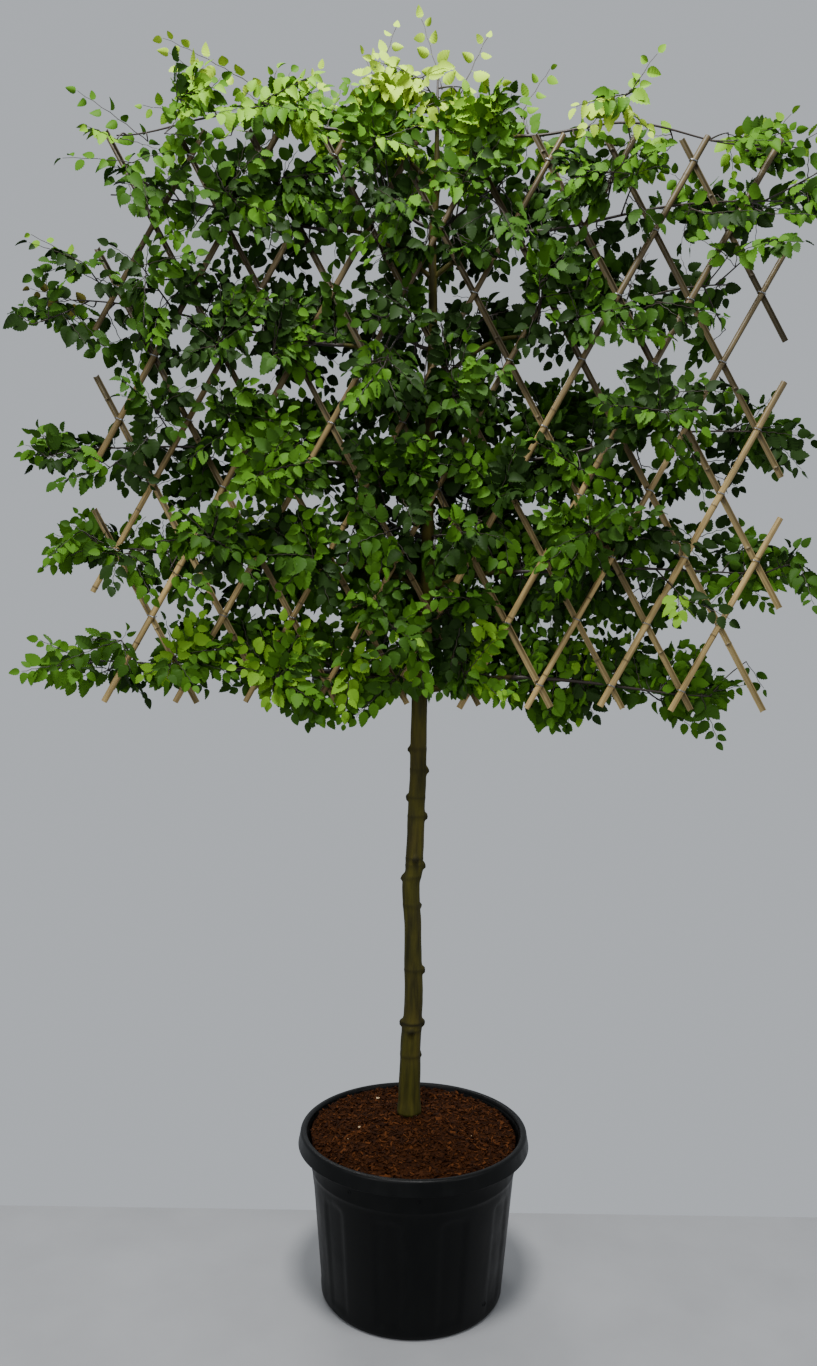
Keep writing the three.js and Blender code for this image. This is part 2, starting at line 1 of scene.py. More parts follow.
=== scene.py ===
import math
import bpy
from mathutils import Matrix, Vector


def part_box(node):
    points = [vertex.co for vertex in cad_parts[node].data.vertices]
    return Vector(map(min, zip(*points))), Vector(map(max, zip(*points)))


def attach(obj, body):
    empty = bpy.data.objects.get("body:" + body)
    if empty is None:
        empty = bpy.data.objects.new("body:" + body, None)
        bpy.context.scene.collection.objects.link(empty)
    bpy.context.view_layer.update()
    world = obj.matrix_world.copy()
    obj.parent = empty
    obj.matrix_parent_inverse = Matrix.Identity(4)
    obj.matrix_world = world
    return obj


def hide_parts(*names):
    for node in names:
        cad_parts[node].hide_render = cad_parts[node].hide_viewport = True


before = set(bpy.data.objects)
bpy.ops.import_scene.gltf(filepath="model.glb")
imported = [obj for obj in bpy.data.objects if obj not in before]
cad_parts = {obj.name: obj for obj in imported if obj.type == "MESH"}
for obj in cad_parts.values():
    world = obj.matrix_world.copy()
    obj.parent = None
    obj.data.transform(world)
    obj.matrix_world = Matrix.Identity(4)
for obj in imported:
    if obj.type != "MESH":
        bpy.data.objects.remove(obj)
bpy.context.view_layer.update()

from types import SimpleNamespace as Values

import bmesh
import bpy
import numpy as np
from bpy.props import FloatProperty, FloatVectorProperty, IntProperty, PointerProperty
from mathutils import Euler, Matrix, Vector, noise

bl_info = {
    "name": "Espaliered Hornbeam",
    "version": (1, 0, 0),
    "blender": (4, 5, 0),
    "location": "View3D > Sidebar > Hornbeam",
    "description": "A container-grown hornbeam trained flat on a bamboo lattice",
    "category": "Object",
}

# Sizes are in millimetres unless a name says otherwise, and every mesh is made in metres.
MM = 0.001
X, Y, Z = 0, 1, 2
FULL_TURN = 2 * math.pi
GOLDEN_ANGLE = math.pi * (3 - math.sqrt(5))
SIDES = (("left", -1), ("right", 1))

# The trunk's centreline, as height, sideways place and radius; the collars of its pruned side
# shoots, as height, direction in degrees and radius; and the relief of its bark.
TRUNK_STATIONS = (
    (475, -13, 33), (520, -13, 30), (647, -12, 28), (810, -5, 25), (1007, -10, 23), (1134, -18, 24),
    (1183, -9, 24), (1301, -6, 23.5), (1471, -2, 22.5), (1640, -1, 21.5), (2010, 15, 18),
    (2235, 15, 15.5), (2710, 21, 12.5), (2970, 16, 10.5), (3120, 26, 8.5), (3290, 24, 5.5),
)
COLLARS = (
    (1525, 180, 9), (1465, 0, 10), (1387, 185, 10), (1333, -5, 11), (1212, 275, 9), (1191, 0, 10),
    (1157, 175, 10), (1076, 10, 6), (891, -5, 11), (737, 180, 11), (737, 0, 11), (718, 268, 10),
    (644, 0, 6),
)
BARK = Values(
    rings=420, sides=48, thicker=1.05, flute=0.06, flutes=2.2, flute_length=160, grain=0.4,
    grains=9, grain_length=30, ring=0.9, ring_reach=5, rim=0.85, rim_at=0.35, dip=0.4,
    collar_height=1.25, collar_reach=2, rim_tightness=5, dip_tightness=14, scar=0.9,
    scar_reach=0.7, dark_ring=0.5, dark_ring_reach=4.5, wobble=3, wobble_length=9, usual_radius=24,
)

# The relief of a bough: ripples, and knots, each with its place along the lowest bough and how far
# it shifts with each bough above.
BOUGH = Values(
    rings=60, sides=20, drawn=0.97, knot=0.12, knot_reach=0.03, ripple=0.06, ripples=9,
    knots=((0.28, 0.04), (0.62, 0), (0.86, -0.03)),
)

# The lattice of split canes: its front layer rises to the right, and its back layer to the left.
LATTICE = Values(
    bottom=1652, pitch=200, steepness=1.834, rising_start=-891, falling_start=-629, thickness=8,
    back=28, clear=0.3,
)
BACK_FLAT = LATTICE.back - LATTICE.thickness - LATTICE.clear
# Between these two depths lie the canes, and no leaf.
FRONT_LIMIT = BACK_FLAT - LATTICE.thickness - 2
BACK_LIMIT = LATTICE.back + 1
# A cane's drawn width and depth as shares of its solid's, its wall, how far a node swells, shuts
# and darkens it along its length, and where its rings of points lie.
CANE = Values(
    seed=41, drawn=0.9, deep=0.95, wall=2.4, least_bow=0.3, ridge=0.07, ridge_reach=3.2,
    shut_reach=2.5, mark=0.8, mark_reach=2.4, arc_steps=8, no_node=99, last_node=8, first_ring=40,
    last_ring=20, ring_spacing=60, ring_off_node=14, sharp_degrees=50,
    node_rings=(-9, -5, -3, -1.5, 0, 1.5, 3, 5, 9),
)
# The heights in metres between which the canes are painted darker, as painted shade on the upper
# canes.
CANE_PAINTED_SHADE_HEIGHTS = (2.0, 2.65)
# Binding wire: half the size of its loop, its rise over a radian, its lean, and its twisted tail.
TIE = Values(
    half_width=11.3, half_depth=9.6, rise=0.28, lean=0.35, squareness=0.6, loop_points=29, tail=9,
    tail_start=6, tail_rise=3, tail_points=9, tail_thicker=1.3, twist=0.8, twist_turn=15, sides=5,
    inset=12,
)

# The height on the trunk of each tier of boughs from the lowest up, and for each side the height
# where its mass of foliage starts, the height and distance of its tip, and the top of its space.
TIER_ROOTS = (1690, 1985, 2265, 2550, 2860, 3110)
TIERS = {
    "left": (
        (1745, 1765, 1130, 1925), (2050, 2085, 1125, 2225), (2335, 2365, 1155, 2560),
        (2665, 2780, 1180, 2905), (2985, 3075, 1075, 3185), (3265, 3240, 1060, 3520),
    ),
    "right": (
        (1735, 1690, 1010, 1880), (2035, 2040, 1130, 2240), (2350, 2440, 1150, 2650),
        (2695, 2850, 1035, 2965), (2990, 3085, 1180, 3190), (3255, 3240, 1070, 3500),
    ),
}
CROWN = Values(
    bottom=1560, front=-212, back=268, top=3625, trunk_line=15, bough_reach=245, bough_radius=11,
    bough_thinning=0.06, bough_gap=2, stem_radius=7, stem_tip_radius=4.2, stem_slimness=0.92,
    stem_points=24,
)
# The masses beside the trunk: the heights between them, and those of each stem's foot and tip.
INNER = Values(
    floors=(1560, 2000, 2420, 2850, 3330),
    stems=((1840, 1905), (2130, 2200), (2660, 2760), (3000, 3110)),
    reach=190,
)
# The rule that the sprays and the twigs grow by, and how much each draw varies.
SPRAY = Values(
    length=205, width=134, droop=0.15, shortest=0.6, edge=0.16, past_stem=0.9, far=0.85,
    face_out=0.85, face_up=0.45,
    vary=Values(size=0.14, droop=0.25, lift=0.3, turn=0.35),
)
TWIG = Values(
    radii=(2.89, 1.5), forward=0.15, lane_half_width=17, slide=13, slides=9, outward=0.35,
    outward_more=0.5, fill=0.85, first_spray=0.3, last_spray=0.98, fork=1, face_out=0.75,
    face_up=0.6,
    vary=Values(place=0.3, turn=0.4, length=0.15, fork=0.45, last_fork=0.4),
)
# A shoot and its leaves. Each pair is a mean and its spread, but for the radii at both ends.
SHOOT = Values(
    radii=(1.6, 0.7), zigzag=1.4, sag=0.07, fewest=3, fork=(0.95, 0.18), last_fork=(0, 0.2),
    lift=(-0.12, 0.22), hang=(0.22, 0.3), roll=(0, 0.55), pitch=(0.1, 0.42), size=(1, 0.13),
)
# A leaf's stalk as a share of its blade's length, and how much each of the leaf's four shapes is
# folded, curled and twisted.
STALK = 0.15
LEAF_BENDS = ((0.1, 0.12, 0.05), (0.18, 0.22, -0.06), (0.05, 0.06, 0.12), (0.24, 0.32, 0.02))
# The leaves along a shoot: where the first one sits, the room for the one at the tip, the scale of
# the smallest, how much larger the middle ones are, and the limits that chance keeps to.
GROWTH = Values(first=0.6, tip=0.75, young=0.7, more=0.38, early=0.18, least=0.7, most=1.35)
# Finer shoots fill what the sprays leave bare, cell by cell.
FILL = Values(
    cell=32, nearest=22, furthest=240, overshoot=45, shortest=60, longest=195, half_width=25,
    leaf_scale=0.97, choices=12, passes=3, beyond=30, depths=(5, 75), turn=0.3, lift=0.25,
)
LEADER = Values(
    spacing=34, leaf_scale=0.85, radii=(2.6, 1.6), foot_out=12, tip_out=25, face_out=0.8,
    face_up=0.5,
)

# Openings where the lattice and the sky show, and clumps where the foliage is thicker than the
# rest: middle, half width and half height.
WINDOWS = (
    (600, 3050, 75, 60), (700, 2905, 125, 45), (960, 2780, 100, 130), (950, 1860, 110, 115),
    (640, 2560, 45, 55), (-660, 2830, 110, 80), (-1050, 2485, 150, 75), (-1020, 3080, 120, 190),
    (-860, 2990, 60, 60), (-870, 2225, 75, 45), (-960, 1960, 140, 90), (-560, 2280, 55, 45),
    (-790, 1850, 65, 55), (-123, 2690, 40, 35), (-230, 2600, 45, 35), (30, 2620, 35, 50),
    (190, 2590, 35, 45), (-480, 2720, 40, 35),
)
CLUMPS = ((800, 3020, 90, 130), (365, 3160, 90, 90), (945, 2140, 80, 80), (430, 2580, 150, 75))
# The crown's upper and lower outline, as sideways place and height. Only leaders stand over it.
TOP_LINE = (
    (-1180, 3000), (-1068, 3180), (-930, 3215), (-800, 3255), (-720, 3335), (-646, 3385),
    (-504, 3350), (-364, 3385), (-223, 3435), (-100, 3370), (50, 3415), (201, 3350), (371, 3280),
    (483, 3345), (598, 3340), (640, 3290), (700, 3190), (850, 3190), (900, 3290), (930, 3310),
    (1010, 3350), (1110, 3340), (1180, 3200),
)
BOTTOM_LINE = (
    (-1180, 1740), (-1029, 1680), (-829, 1670), (-600, 1690), (-450, 1690), (-330, 1610),
    (-241, 1575), (-85, 1680), (172, 1685), (300, 1660), (432, 1590), (516, 1640), (680, 1700),
    (740, 1640), (780, 1570), (850, 1570), (910, 1700), (1180, 1850),
)
# Half the height of a tier's foliage near the trunk and at its tip, and the shares of the tip's
# distance between which it tapers.
TAPER = Values(halves=(240, 75), shares=(0.55, 1.05))
# Small gaps let light through. Most are between the heights that end `foot` and start `head`.
GAPS = Values(size=58, threshold=0.55, more=0.3, foot=(2420, 2580), head=(3120, 3280))
# Layers of leaves over a place, before and behind the lattice. Each pair is where a change sets in
# and where it is complete: in height, in distance across or in distance from a tier's stem.
LAYERS = Values(
    core_at=-30, core_reach=620, before=0.27, before_high=0.2, high=(2650, 3000), fewer_right=0.68,
    right=(-300, 300), behind=0.18, core=0.66, core_low=1.4, upper=(2450, 2650), in_clump=0.8,
    by_stem=0.5, off_stem=(40, 110), ends=(1040, 1130),
)
# Sprays before the lattice that are left out below these heights, and more of them to the right.
LEFT_OUT = Values(low=0.27, low_right=0.4, upper=(2500, 2900), right=(-150, 350))
# The leaf colours from the inside of the crown out, darker ones dealt as painted shade and lighter
# ones as painted light, and the lightness where each next one starts.
LEAF_TINTS = ("deep", "mid", "fresh", "light", "lime", "bronze")
TINT_STEPS = (0.02, 0.34, 0.66, 1.06)
# What a spray's place adds to its lightness. It paints light: lighter at the top and most at its
# middle, where the key lamp shines. It paints shade: darker at the top's ends and behind the
# lattice.
# It is also lighter at the foot and towards the tips, and chance adds the rest. Heights are shares
# of the crown's, as pairs like those of the layers.
PAINTED_LEAF_LIGHT = Values(
    least=-0.03, top=1.18, top_from=(0.64, 0.95), foot=0.56, outside=0.15, outermost=1150,
    chance=0.82, behind=-0.15, middle=0.55, middle_from=(0.78, 0.9), middle_at=60,
    middle_reach=420, ends=-0.22, ends_from=(0.64, 0.78),
)
# Long young shoots with few leaves that stand out of the crown, by the mass they belong to: foot
# and tip in the plane of the crown, and the number of the leaf colour. The colours grow lighter
# towards the top, where the lime and light ones are partly painted light of the key lamp.
LEADERS = {
    "foliage_left_6": (
        ((-460, 3370), (-790, 3580), 4), ((-620, 3390), (-765, 3530), 4),
        ((-790, 3230), (-1030, 3425), 2), ((-700, 3330), (-860, 3385), 3),
        ((-351, 3400), (-311, 3551), 4), ((-400, 3380), (-460, 3460), 4),
    ),
    "foliage_top": (
        ((-151, 3400), (-86, 3645), 4), ((37, 3400), (-34, 3668), 4), ((91, 3410), (183, 3640), 4),
        ((-150, 3420), (-205, 3550), 4), ((140, 3400), (243, 3505), 4),
    ),
    "foliage_right_6": (
        ((263, 3330), (363, 3508), 3), ((549, 3330), (629, 3457), 3),
        ((949, 3230), (1046, 3386), 3), ((1040, 3240), (1150, 3340), 3),
    ),
    "foliage_right_5": (((1020, 3080), (1150, 2990), 5),),
    "foliage_left_5": (((-794, 3120), (-1029, 3140), 2),),
    "foliage_left_4": (((-937, 2850), (-1117, 2960), 3), ((-945, 2766), (-1165, 2850), 5),),
    "foliage_left_3": (((-960, 2330), (-1150, 2350), 1),),
    "foliage_right_1": (((930, 1790), (1012, 1690), 1),),
}

# The pot's wall and lip, and its upright panels, every other one sunk.
POT = Values(
    foot_radius=248, base_radius=254, neck_radius=290, neck_height=405, mouth_radius=303,
    lip_foot=417, wall=4, floor=6, panels=20, panel_depth=3.2, panel_foot=32, panel_top=330,
    panel_flat=0.62, panel_arch=16, foot_ramp=6, top_ramp=9, segments=240, sharp_degrees=40,
)
# Small round bosses under the pot's lip and near its foot: direction in degrees, height and radius.
BOSSES = ((273, 388, 6), (234, 384, 7), (319, 52, 8), (139, 52, 8), (93, 388, 6))
BOSS = Values(segments=20, height=3, set_in=0.5, top=0.8, rim=0.3, hole_slope=0.4, hole_depth=1.6)
# The mulch's surface as radius and height, from the rim to the stem.
MULCH_SIDE = ((289, 443), (240, 452), (170, 464), (112, 475), (0, 476))
# The mulch's lumps, how far it lies lower and is tilted towards the rim, and its gap to the pot.
MULCH = Values(
    lump=5, lump_size=30, fractal=(0.8, 2.2, 4), lower=3, tilt=9, tilt_from=150, tilt_left=0.6,
    rim=290, clear=0.6, brim=450, rings=60, segments=180, bed_shade=0.6,
)
# Loose chips: the spread of their tilt and the most they turn in radians, the smallest one's size,
# how few are large, and each tint's share: dark, red, orange and pale. Each pair is a least value
# and how much chance adds to it.
CHIPS = Values(
    seed=7, shape_seed=19, tilt=0.38, turn=6.3, smallest=0.25, few_large=2.2, width=(0.32, 0.3),
    thickness=(0.1, 0.12), above=(1.2, 2.2), taper=0.55, uneven=0.09, sharp_degrees=35,
    shares=(0.4, 0.42, 0.1785, 0.0015),
)

# Soft boxes: name, place and target in metres, width in metres and watts.
LIGHTS = (
    ("key", (-0.05, -1.3, 4.9), (0, 0.1, 3.2), 0.8, 210),
    ("fill_left", (-2.6, -3.6, 2.4), (0, 0, 1.7), 2.0, 60),
    ("fill_right", (3.2, -2.8, 2.6), (0, 0, 1.7), 2.0, 38),
    ("back", (-1.2, 3.0, 4.6), (0, 0, 3.0), 1.5, 60),
)
SKY = Values(colour="#d3d8de", strength=0.75)
# The camera stands in front of the plant, tipped down and rolled by these degrees. Its place is in
# metres.
CAMERA = Values(place=(-0.033, -2.985, 1.79), tip_down=1.43, roll=0.85, lens=28, sensor=36)
FLOOR = Values(half_width=3400, half_depth=1800, middle=-1400)


def linear(colour):
    """An sRGB hex colour as linear red, green and blue."""
    parts = [int(colour[i : i + 2], 16) / 255 for i in (1, 3, 5)]
    return [p / 12.92 if p <= 0.04045 else ((p + 0.055) / 1.055) ** 2.4 for p in parts]


def length(name, default, low, high, description):
    """A size in metres that a user can change."""
    return FloatProperty(
        name=name, description=description, default=default, min=low, max=high, unit="LENGTH"
    )


def colour(name, default, description):
    """A colour that a user can change, from its sRGB hex default."""
    return FloatVectorProperty(
        name=name, description=description, subtype="COLOR", size=3, min=0, max=1,
        default=linear(default),
    )


class HornbeamSizes(bpy.types.PropertyGroup):
    """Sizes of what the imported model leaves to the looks."""

    leaf_length: length("Leaf length", 0.047, 0.02, 0.12, "Length of a full-grown leaf's blade")
    leaf_width: length("Leaf width", 0.0305, 0.01, 0.08, "Width of a full-grown leaf's blade")
    leaf_spacing: length("Leaf spacing", 0.018, 0.01, 0.06, "Distance along a twig between leaves")
    cane_node_spacing: length("Cane node spacing", 0.25, 0.1, 0.5, "Distance between cane nodes")
    chip_length: length("Mulch chip length", 0.017, 0.005, 0.06, "Length of the larger bark chips")
    chip_count: IntProperty(
        name="Mulch chips", description="Number of loose chips that lie on the mulch", default=6000,
        min=0, max=12000,
    )
    wire: length("Binding wire", 0.0016, 0.0005, 0.004, "Diameter of the wire that binds the canes")


class HornbeamColours(bpy.types.PropertyGroup):
    """Base colours of the finishes."""

    # Deep leaves stand in for the shade inside the crown, and lime and light leaves partly for the
    # key lamp's light on the top: painted shade and painted light, besides the paler colour of
    # young leaves.
    leaf_deep: colour("Deep leaf", "#1a2e0b", "Older leaves in the shade of the crown")
    leaf_mid: colour("Middle leaf", "#2a480e", "Full-grown leaves")
    leaf_fresh: colour("Fresh leaf", "#3e6414", "Younger leaves")
    leaf_light: colour("Light leaf", "#638c1f", "Leaves of this year's growth")
    leaf_lime: colour("Lime leaf", "#8fae2c", "Unfolding leaves at the top")
    leaf_bronze: colour("Bronze leaf", "#4d4a1a", "Youngest leaves at shoot tips")
    bark: colour("Bark", "#38330f", "Trunk and boughs")
    shoot: colour("Shoot", "#241b12", "Twigs and young shoots")
    cane_front: colour("Front canes", "#ab925e", "Round side of the bamboo")
    cane_back: colour("Back canes", "#89784f", "Split side of the bamboo")
    mulch: colour("Mulch", "#361b07", "Composted bark")
    pot: colour("Pot", "#040505", "Recycled plastic of the pot")
    floor: colour("Floor", "#97989a", "Painted floor")


def sizes():
    """The sizes as they are set now."""
    return bpy.context.scene.hornbeam_sizes


def colours():
    """The base colours as they are set now."""
    return bpy.context.scene.hornbeam_colours


MIX = {"data_type": "RGBA"}
MULTIPLY = {"data_type": "RGBA", "blend_type": "MULTIPLY"}
# The part of a noise's range that its roughness follows.
MIDDLE = {"From_Min": 0.3, "From_Max": 0.7}


def add_node(tree, kind, settings=None, to=None, **inputs):
    """Adds a node with its settings and links. An input is a value, or a node or output that is
    linked to it, and `to` is a socket that the node's first output is linked to."""

    def first_output(node):
        return next(socket for socket in node.outputs if socket.enabled)

    node = tree.nodes.new(f"ShaderNode{kind}")
    for name, value in (settings or {}).items():
        if name != "stops":
            setattr(node, name, value)
            continue
        elements = node.color_ramp.elements
        while len(elements) < len(value):
            elements.new(0.5)
        for element, (place, tint) in zip(elements, value):
            element.position, element.color = place, (*tint, 1)
    for name, value in inputs.items():
        label = name.replace("_", " ")
        socket = next(s for s in node.inputs if s.name == label and s.enabled)
        if isinstance(value, bpy.types.Node):
            value = first_output(value)
        if isinstance(value, bpy.types.NodeSocket):
            tree.links.new(value, socket)
        else:
            socket.default_value = value
    if to:
        tree.links.new(first_output(node), to)
    return node


def new_material(name, base, roughness, ior=1.5, specular=0.5):
    """A material with its node tree and its shader's sockets, and its plain values set there."""
    material = bpy.data.materials.new(name)
    material.use_nodes = True
    sockets = material.node_tree.nodes["Principled BSDF"].inputs
    sockets["Base Color"].default_value = (*base, 1)
    sockets["Roughness"].default_value = roughness
    sockets["IOR"].default_value = ior
    sockets["Specular IOR Level"].default_value = specular
    material.diffuse_color = (*base, 1)
    return material, material.node_tree, sockets


def shade(base, factor):
    """A colour made darker or lighter by a factor."""
    return tuple(min(1, part * factor) for part in base)


def stops(base, *rows):
    """A colour ramp's settings from rows of place and factor on a base colour."""
    return {"stops": [(place, shade(base, factor)) for place, factor in rows]}


def pattern(tree, grain, stretch=(1, 1, 1), turn=0.0, detail=4.0, roughness=0.55):
    """Noise on the piece's own coordinates, turned and stretched. Its grain is in millimetres."""
    place = add_node(tree, "TexCoord").outputs["Object"]
    turned = add_node(tree, "Mapping", Vector=place, Rotation=(0, turn, 0))
    stretched = add_node(tree, "Mapping", Vector=turned, Scale=stretch)
    scale = 1 / (grain * MM)
    return add_node(
        tree, "TexNoise", Vector=stretched, Scale=scale, Detail=detail, Roughness=roughness
    )


def bark_material():
    """Hornbeam bark, grown: smooth and matt, olive over grey, with paler streaks that run up the
    stem, algae in patches and dark scars where shoots were pruned."""
    base = tuple(colours().bark)
    material, tree, shader = new_material(
        "hornbeam_bark", base, roughness=0.72, ior=1.45, specular=0.18
    )
    streaks = pattern(tree, 16.667, (1, 1, 0.12), detail=6)
    patches = pattern(tree, 111.1, (1, 1, 0.5), detail=3)
    fine = pattern(tree, 4.1667, (1, 1, 0.25), detail=8)
    tints = stops(base, (0.32, 0.45), (0.5, 1), (0.68, 1.55))
    tint = add_node(tree, "ValToRGB", tints, Fac=streaks)
    green = {"stops": [(0.42, (0.75, 0.85, 0.5)), (0.62, (1, 0.98, 0.95))]}
    algae = add_node(tree, "ValToRGB", green, Fac=patches)
    stained = add_node(tree, "Mix", MULTIPLY, Factor=0.8, A=tint, B=algae)
    scars = add_node(tree, "Attribute", {"attribute_name": "scar"}).outputs["Fac"]
    dark = (*shade(base, 0.22), 1)
    add_node(tree, "Mix", MIX, shader["Base Color"], Factor=scars, A=stained, B=dark)
    add_node(
        tree, "MapRange", to=shader["Roughness"], Value=streaks, To_Min=0.6, To_Max=0.85, **MIDDLE
    )
    add_node(tree, "Bump", to=shader["Normal"], Height=fine, Strength=0.6, Distance=0.0012)
    return material


def shoot_material():
    """Bark of young shoots, grown this year and last: thin, brown and slightly glossy."""
    base = tuple(colours().shoot)
    return new_material("young_shoot_bark", base, roughness=0.5, ior=1.45)[0]


def bamboo_material(name, base, turn):
    """Bamboo, split and dried: hard, satin and streaked along the cane, weathered to grey in
    patches and darker in a ring at each node. Painted shade makes it darker towards the top."""
    material, tree, shader = new_material(name, base, roughness=0.46, ior=1.5, specular=0.25)
    streaks = pattern(tree, 4.5455, (1, 1, 0.03), turn, detail=5)
    patches = pattern(tree, 142.86, (1, 1, 0.6), turn, detail=3)
    tint = add_node(tree, "ValToRGB", stops(base, (0.3, 0.5), (0.5, 1), (0.7, 1.3)), Fac=streaks)
    grey = add_node(tree, "ValToRGB", stops((1, 1, 1), (0.4, 0.62), (0.62, 1)), Fac=patches)
    weathered = add_node(tree, "Mix", MULTIPLY, Factor=0.85, A=tint, B=grey)
    # Painted shade: the upper canes are darkened by their height.
    place = add_node(tree, "TexCoord").outputs["Object"]
    height = add_node(tree, "SeparateXYZ", Vector=place).outputs["Z"]
    start, end = CANE_PAINTED_SHADE_HEIGHTS
    risen = add_node(tree, "MapRange", Value=height, From_Min=start, From_Max=end)
    top_shade_stops = {"stops": [(0, (1, 1, 1)), (1, (0.21, 0.215, 0.215))]}
    painted_top_shade = add_node(tree, "ValToRGB", top_shade_stops, Fac=risen)
    weathered_and_shaded = add_node(tree, "Mix", MULTIPLY, Factor=1, A=weathered, B=painted_top_shade)
    rings = add_node(tree, "Attribute", {"attribute_name": "node"}).outputs["Fac"]
    dark = (*shade(base, 0.12), 1)
    add_node(tree, "Mix", MIX, shader["Base Color"], Factor=rings, A=weathered_and_shaded, B=dark)
    add_node(
        tree, "MapRange", to=shader["Roughness"], Value=patches, To_Min=0.55, To_Max=0.35, **MIDDLE
    )
    add_node(tree, "Bump", to=shader["Normal"], Height=streaks, Strength=0.35, Distance=0.0006)
    return material


def pot_material():
    """Recycled polypropylene, injection moulded: black and satin, with paler scuffs and a fine
    grain, which is drawn about 1 mm wide, coarser than the real one, so that it shows."""
    base = tuple(colours().pot)
    material, tree, shader = new_material(
        "moulded_polypropylene", base, roughness=0.42, ior=1.49, specular=0.15
    )
    scuffs = pattern(tree, 38.46, (1, 1, 0.35), detail=8, roughness=0.65)
    grain = pattern(tree, 1.1111, detail=3)
    tints = stops(base, (0.35, 0.7), (0.55, 1), (0.75, 2.1))
    add_node(tree, "ValToRGB", tints, shader["Base Color"], Fac=scuffs)
    add_node(
        tree, "MapRange", to=shader["Roughness"], Value=scuffs, To_Min=0.32, To_Max=0.52, **MIDDLE
    )
    add_node(tree, "Bump", to=shader["Normal"], Height=grain, Strength=0.25, Distance=0.0004)
    return material


def mulch_material(name, base):
    """Bark, shredded and composted: rough, matt and mottled."""
    material, tree, shader = new_material(name, base, roughness=0.92, ior=1.4, specular=0.1)
    grains = pattern(tree, 5.5556, detail=6, roughness=0.7)
    tints = stops(base, (0.34, 0.35), (0.5, 1), (0.68, 1.7))
    add_node(tree, "ValToRGB", tints, shader["Base Color"], Fac=grains)
    add_node(tree, "Bump", to=shader["Normal"], Height=grains, Strength=0.8, Distance=0.002)
    return material


def chip_materials():
    """Bark of conifers, broken into chips: rough and matt, each chip in one of four plain tints."""
    base = tuple(colours().mulch)
    tints = {"dark": shade(base, 0.42), "red": base, "orange": shade(base, 1.9)}
    tints["pale"] = linear("#b59d7a")
    finish = {"roughness": 0.85, "ior": 1.4, "specular": 0.12}
    return [new_material(f"bark_chip_{n}", tints[n], **finish)[0] for n in tints]


def wire_material():
    """Steel wire, drawn and galvanised: a dull grey gleam."""
    material, _, shader = new_material("galvanised_wire", linear("#8f9194"), roughness=0.38)
    shader["Metallic"].default_value = 1
    return material


def leaf_materials():
    """Hornbeam leaf, thin and waxed above: satin. Each spray has one of these plain colours."""
    bases = {name: tuple(getattr(colours(), f"leaf_{name}")) for name in LEAF_TINTS}
    finish = {"roughness": 0.56, "ior": 1.42, "specular": 0.1}
    return [new_material(f"hornbeam_leaf_{n}", bases[n], **finish)[0] for n in bases]


def floor_material():
    """Concrete, painted: pale and matt, a little uneven in tone."""
    base = tuple(colours().floor)
    material, tree, shader = new_material("painted_floor", base, roughness=0.6)
    tints = stops(base, (0.35, 0.94), (0.65, 1.04))
    add_node(tree, "ValToRGB", tints, shader["Base Color"], Fac=pattern(tree, 333.3, detail=6))
    return material


def lerp(a, b, t):
    """The value that lies a share of the way from a to b."""
    return a + (b - a) * t


def unit(vector):
    """The vector's direction at unit length."""
    return vector / np.linalg.norm(vector)


def smooth(low, high, value):
    """0 below low, 1 above high, and an even curve between."""
    t = min(1, max(0, (value - low) / (high - low)))
    return t * t * (3 - 2 * t)


def bell(distance):
    """1 at no distance, falling to nothing within about two."""
    return math.exp(-(distance**2))


def on_circle(turn, height):
    """A place for noise that closes round a stem."""
    return Vector((math.cos(turn), math.sin(turn), height))


def within(places, x, z):
    """Whether a point lies in one of the places, each a middle, half width and half height."""
    return any(((x - a) / wide) ** 2 + ((z - b) / tall) ** 2 < 1 for a, b, wide, tall in places)


def numbers(seed):
    """A repeatable sequence of numbers from 0 to 1."""
    state = seed
    while True:
        state = (state * 1664525 + 1013904223) % 2**32
        yield state / 2**32


def station_value(z, column):
    """A column of the trunk's stations at a height, joined smoothly."""
    passed = sum(station[0] <= z for station in TRUNK_STATIONS)
    start = min(max(passed - 1, 0), len(TRUNK_STATIONS) - 2)
    a, b = TRUNK_STATIONS[start : start + 2]
    return lerp(a[column], b[column], smooth(a[0], b[0], z))


def trunk_radius(z):
    """The trunk's radius at a height."""
    return station_value(z, 2)


def trunk_centre(z):
    """The trunk's centre at a height. In the crown its front follows the lattice's back."""
    behind = LATTICE.back + LATTICE.clear + trunk_radius(max(z, LATTICE.bottom))
    return np.array([station_value(z, 1), behind, z], float)


def link_piece(name, mesh, materials, nodes=()):
    """Adds a mesh as a piece of the object."""
    piece = bpy.data.objects.new(name, mesh)
    bpy.context.scene.collection.objects.link(piece)
    for material in materials:
        mesh.materials.append(material)
    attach(piece, "root")
    if nodes:
        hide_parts(*nodes)


def finished_mesh(name, bm, sharp_degrees=180):
    """A mesh in metres from a bmesh in millimetres, smooth but for edges sharper than the angle."""
    bmesh.ops.recalc_face_normals(bm, faces=bm.faces)
    bmesh.ops.scale(bm, vec=(MM, MM, MM), verts=bm.verts)
    mesh = bpy.data.meshes.new(name)
    bm.to_mesh(mesh)
    bm.free()
    mesh.shade_smooth()
    if sharp_degrees < 180:
        mesh.set_sharp_from_angle(angle=math.radians(sharp_degrees))
    return mesh


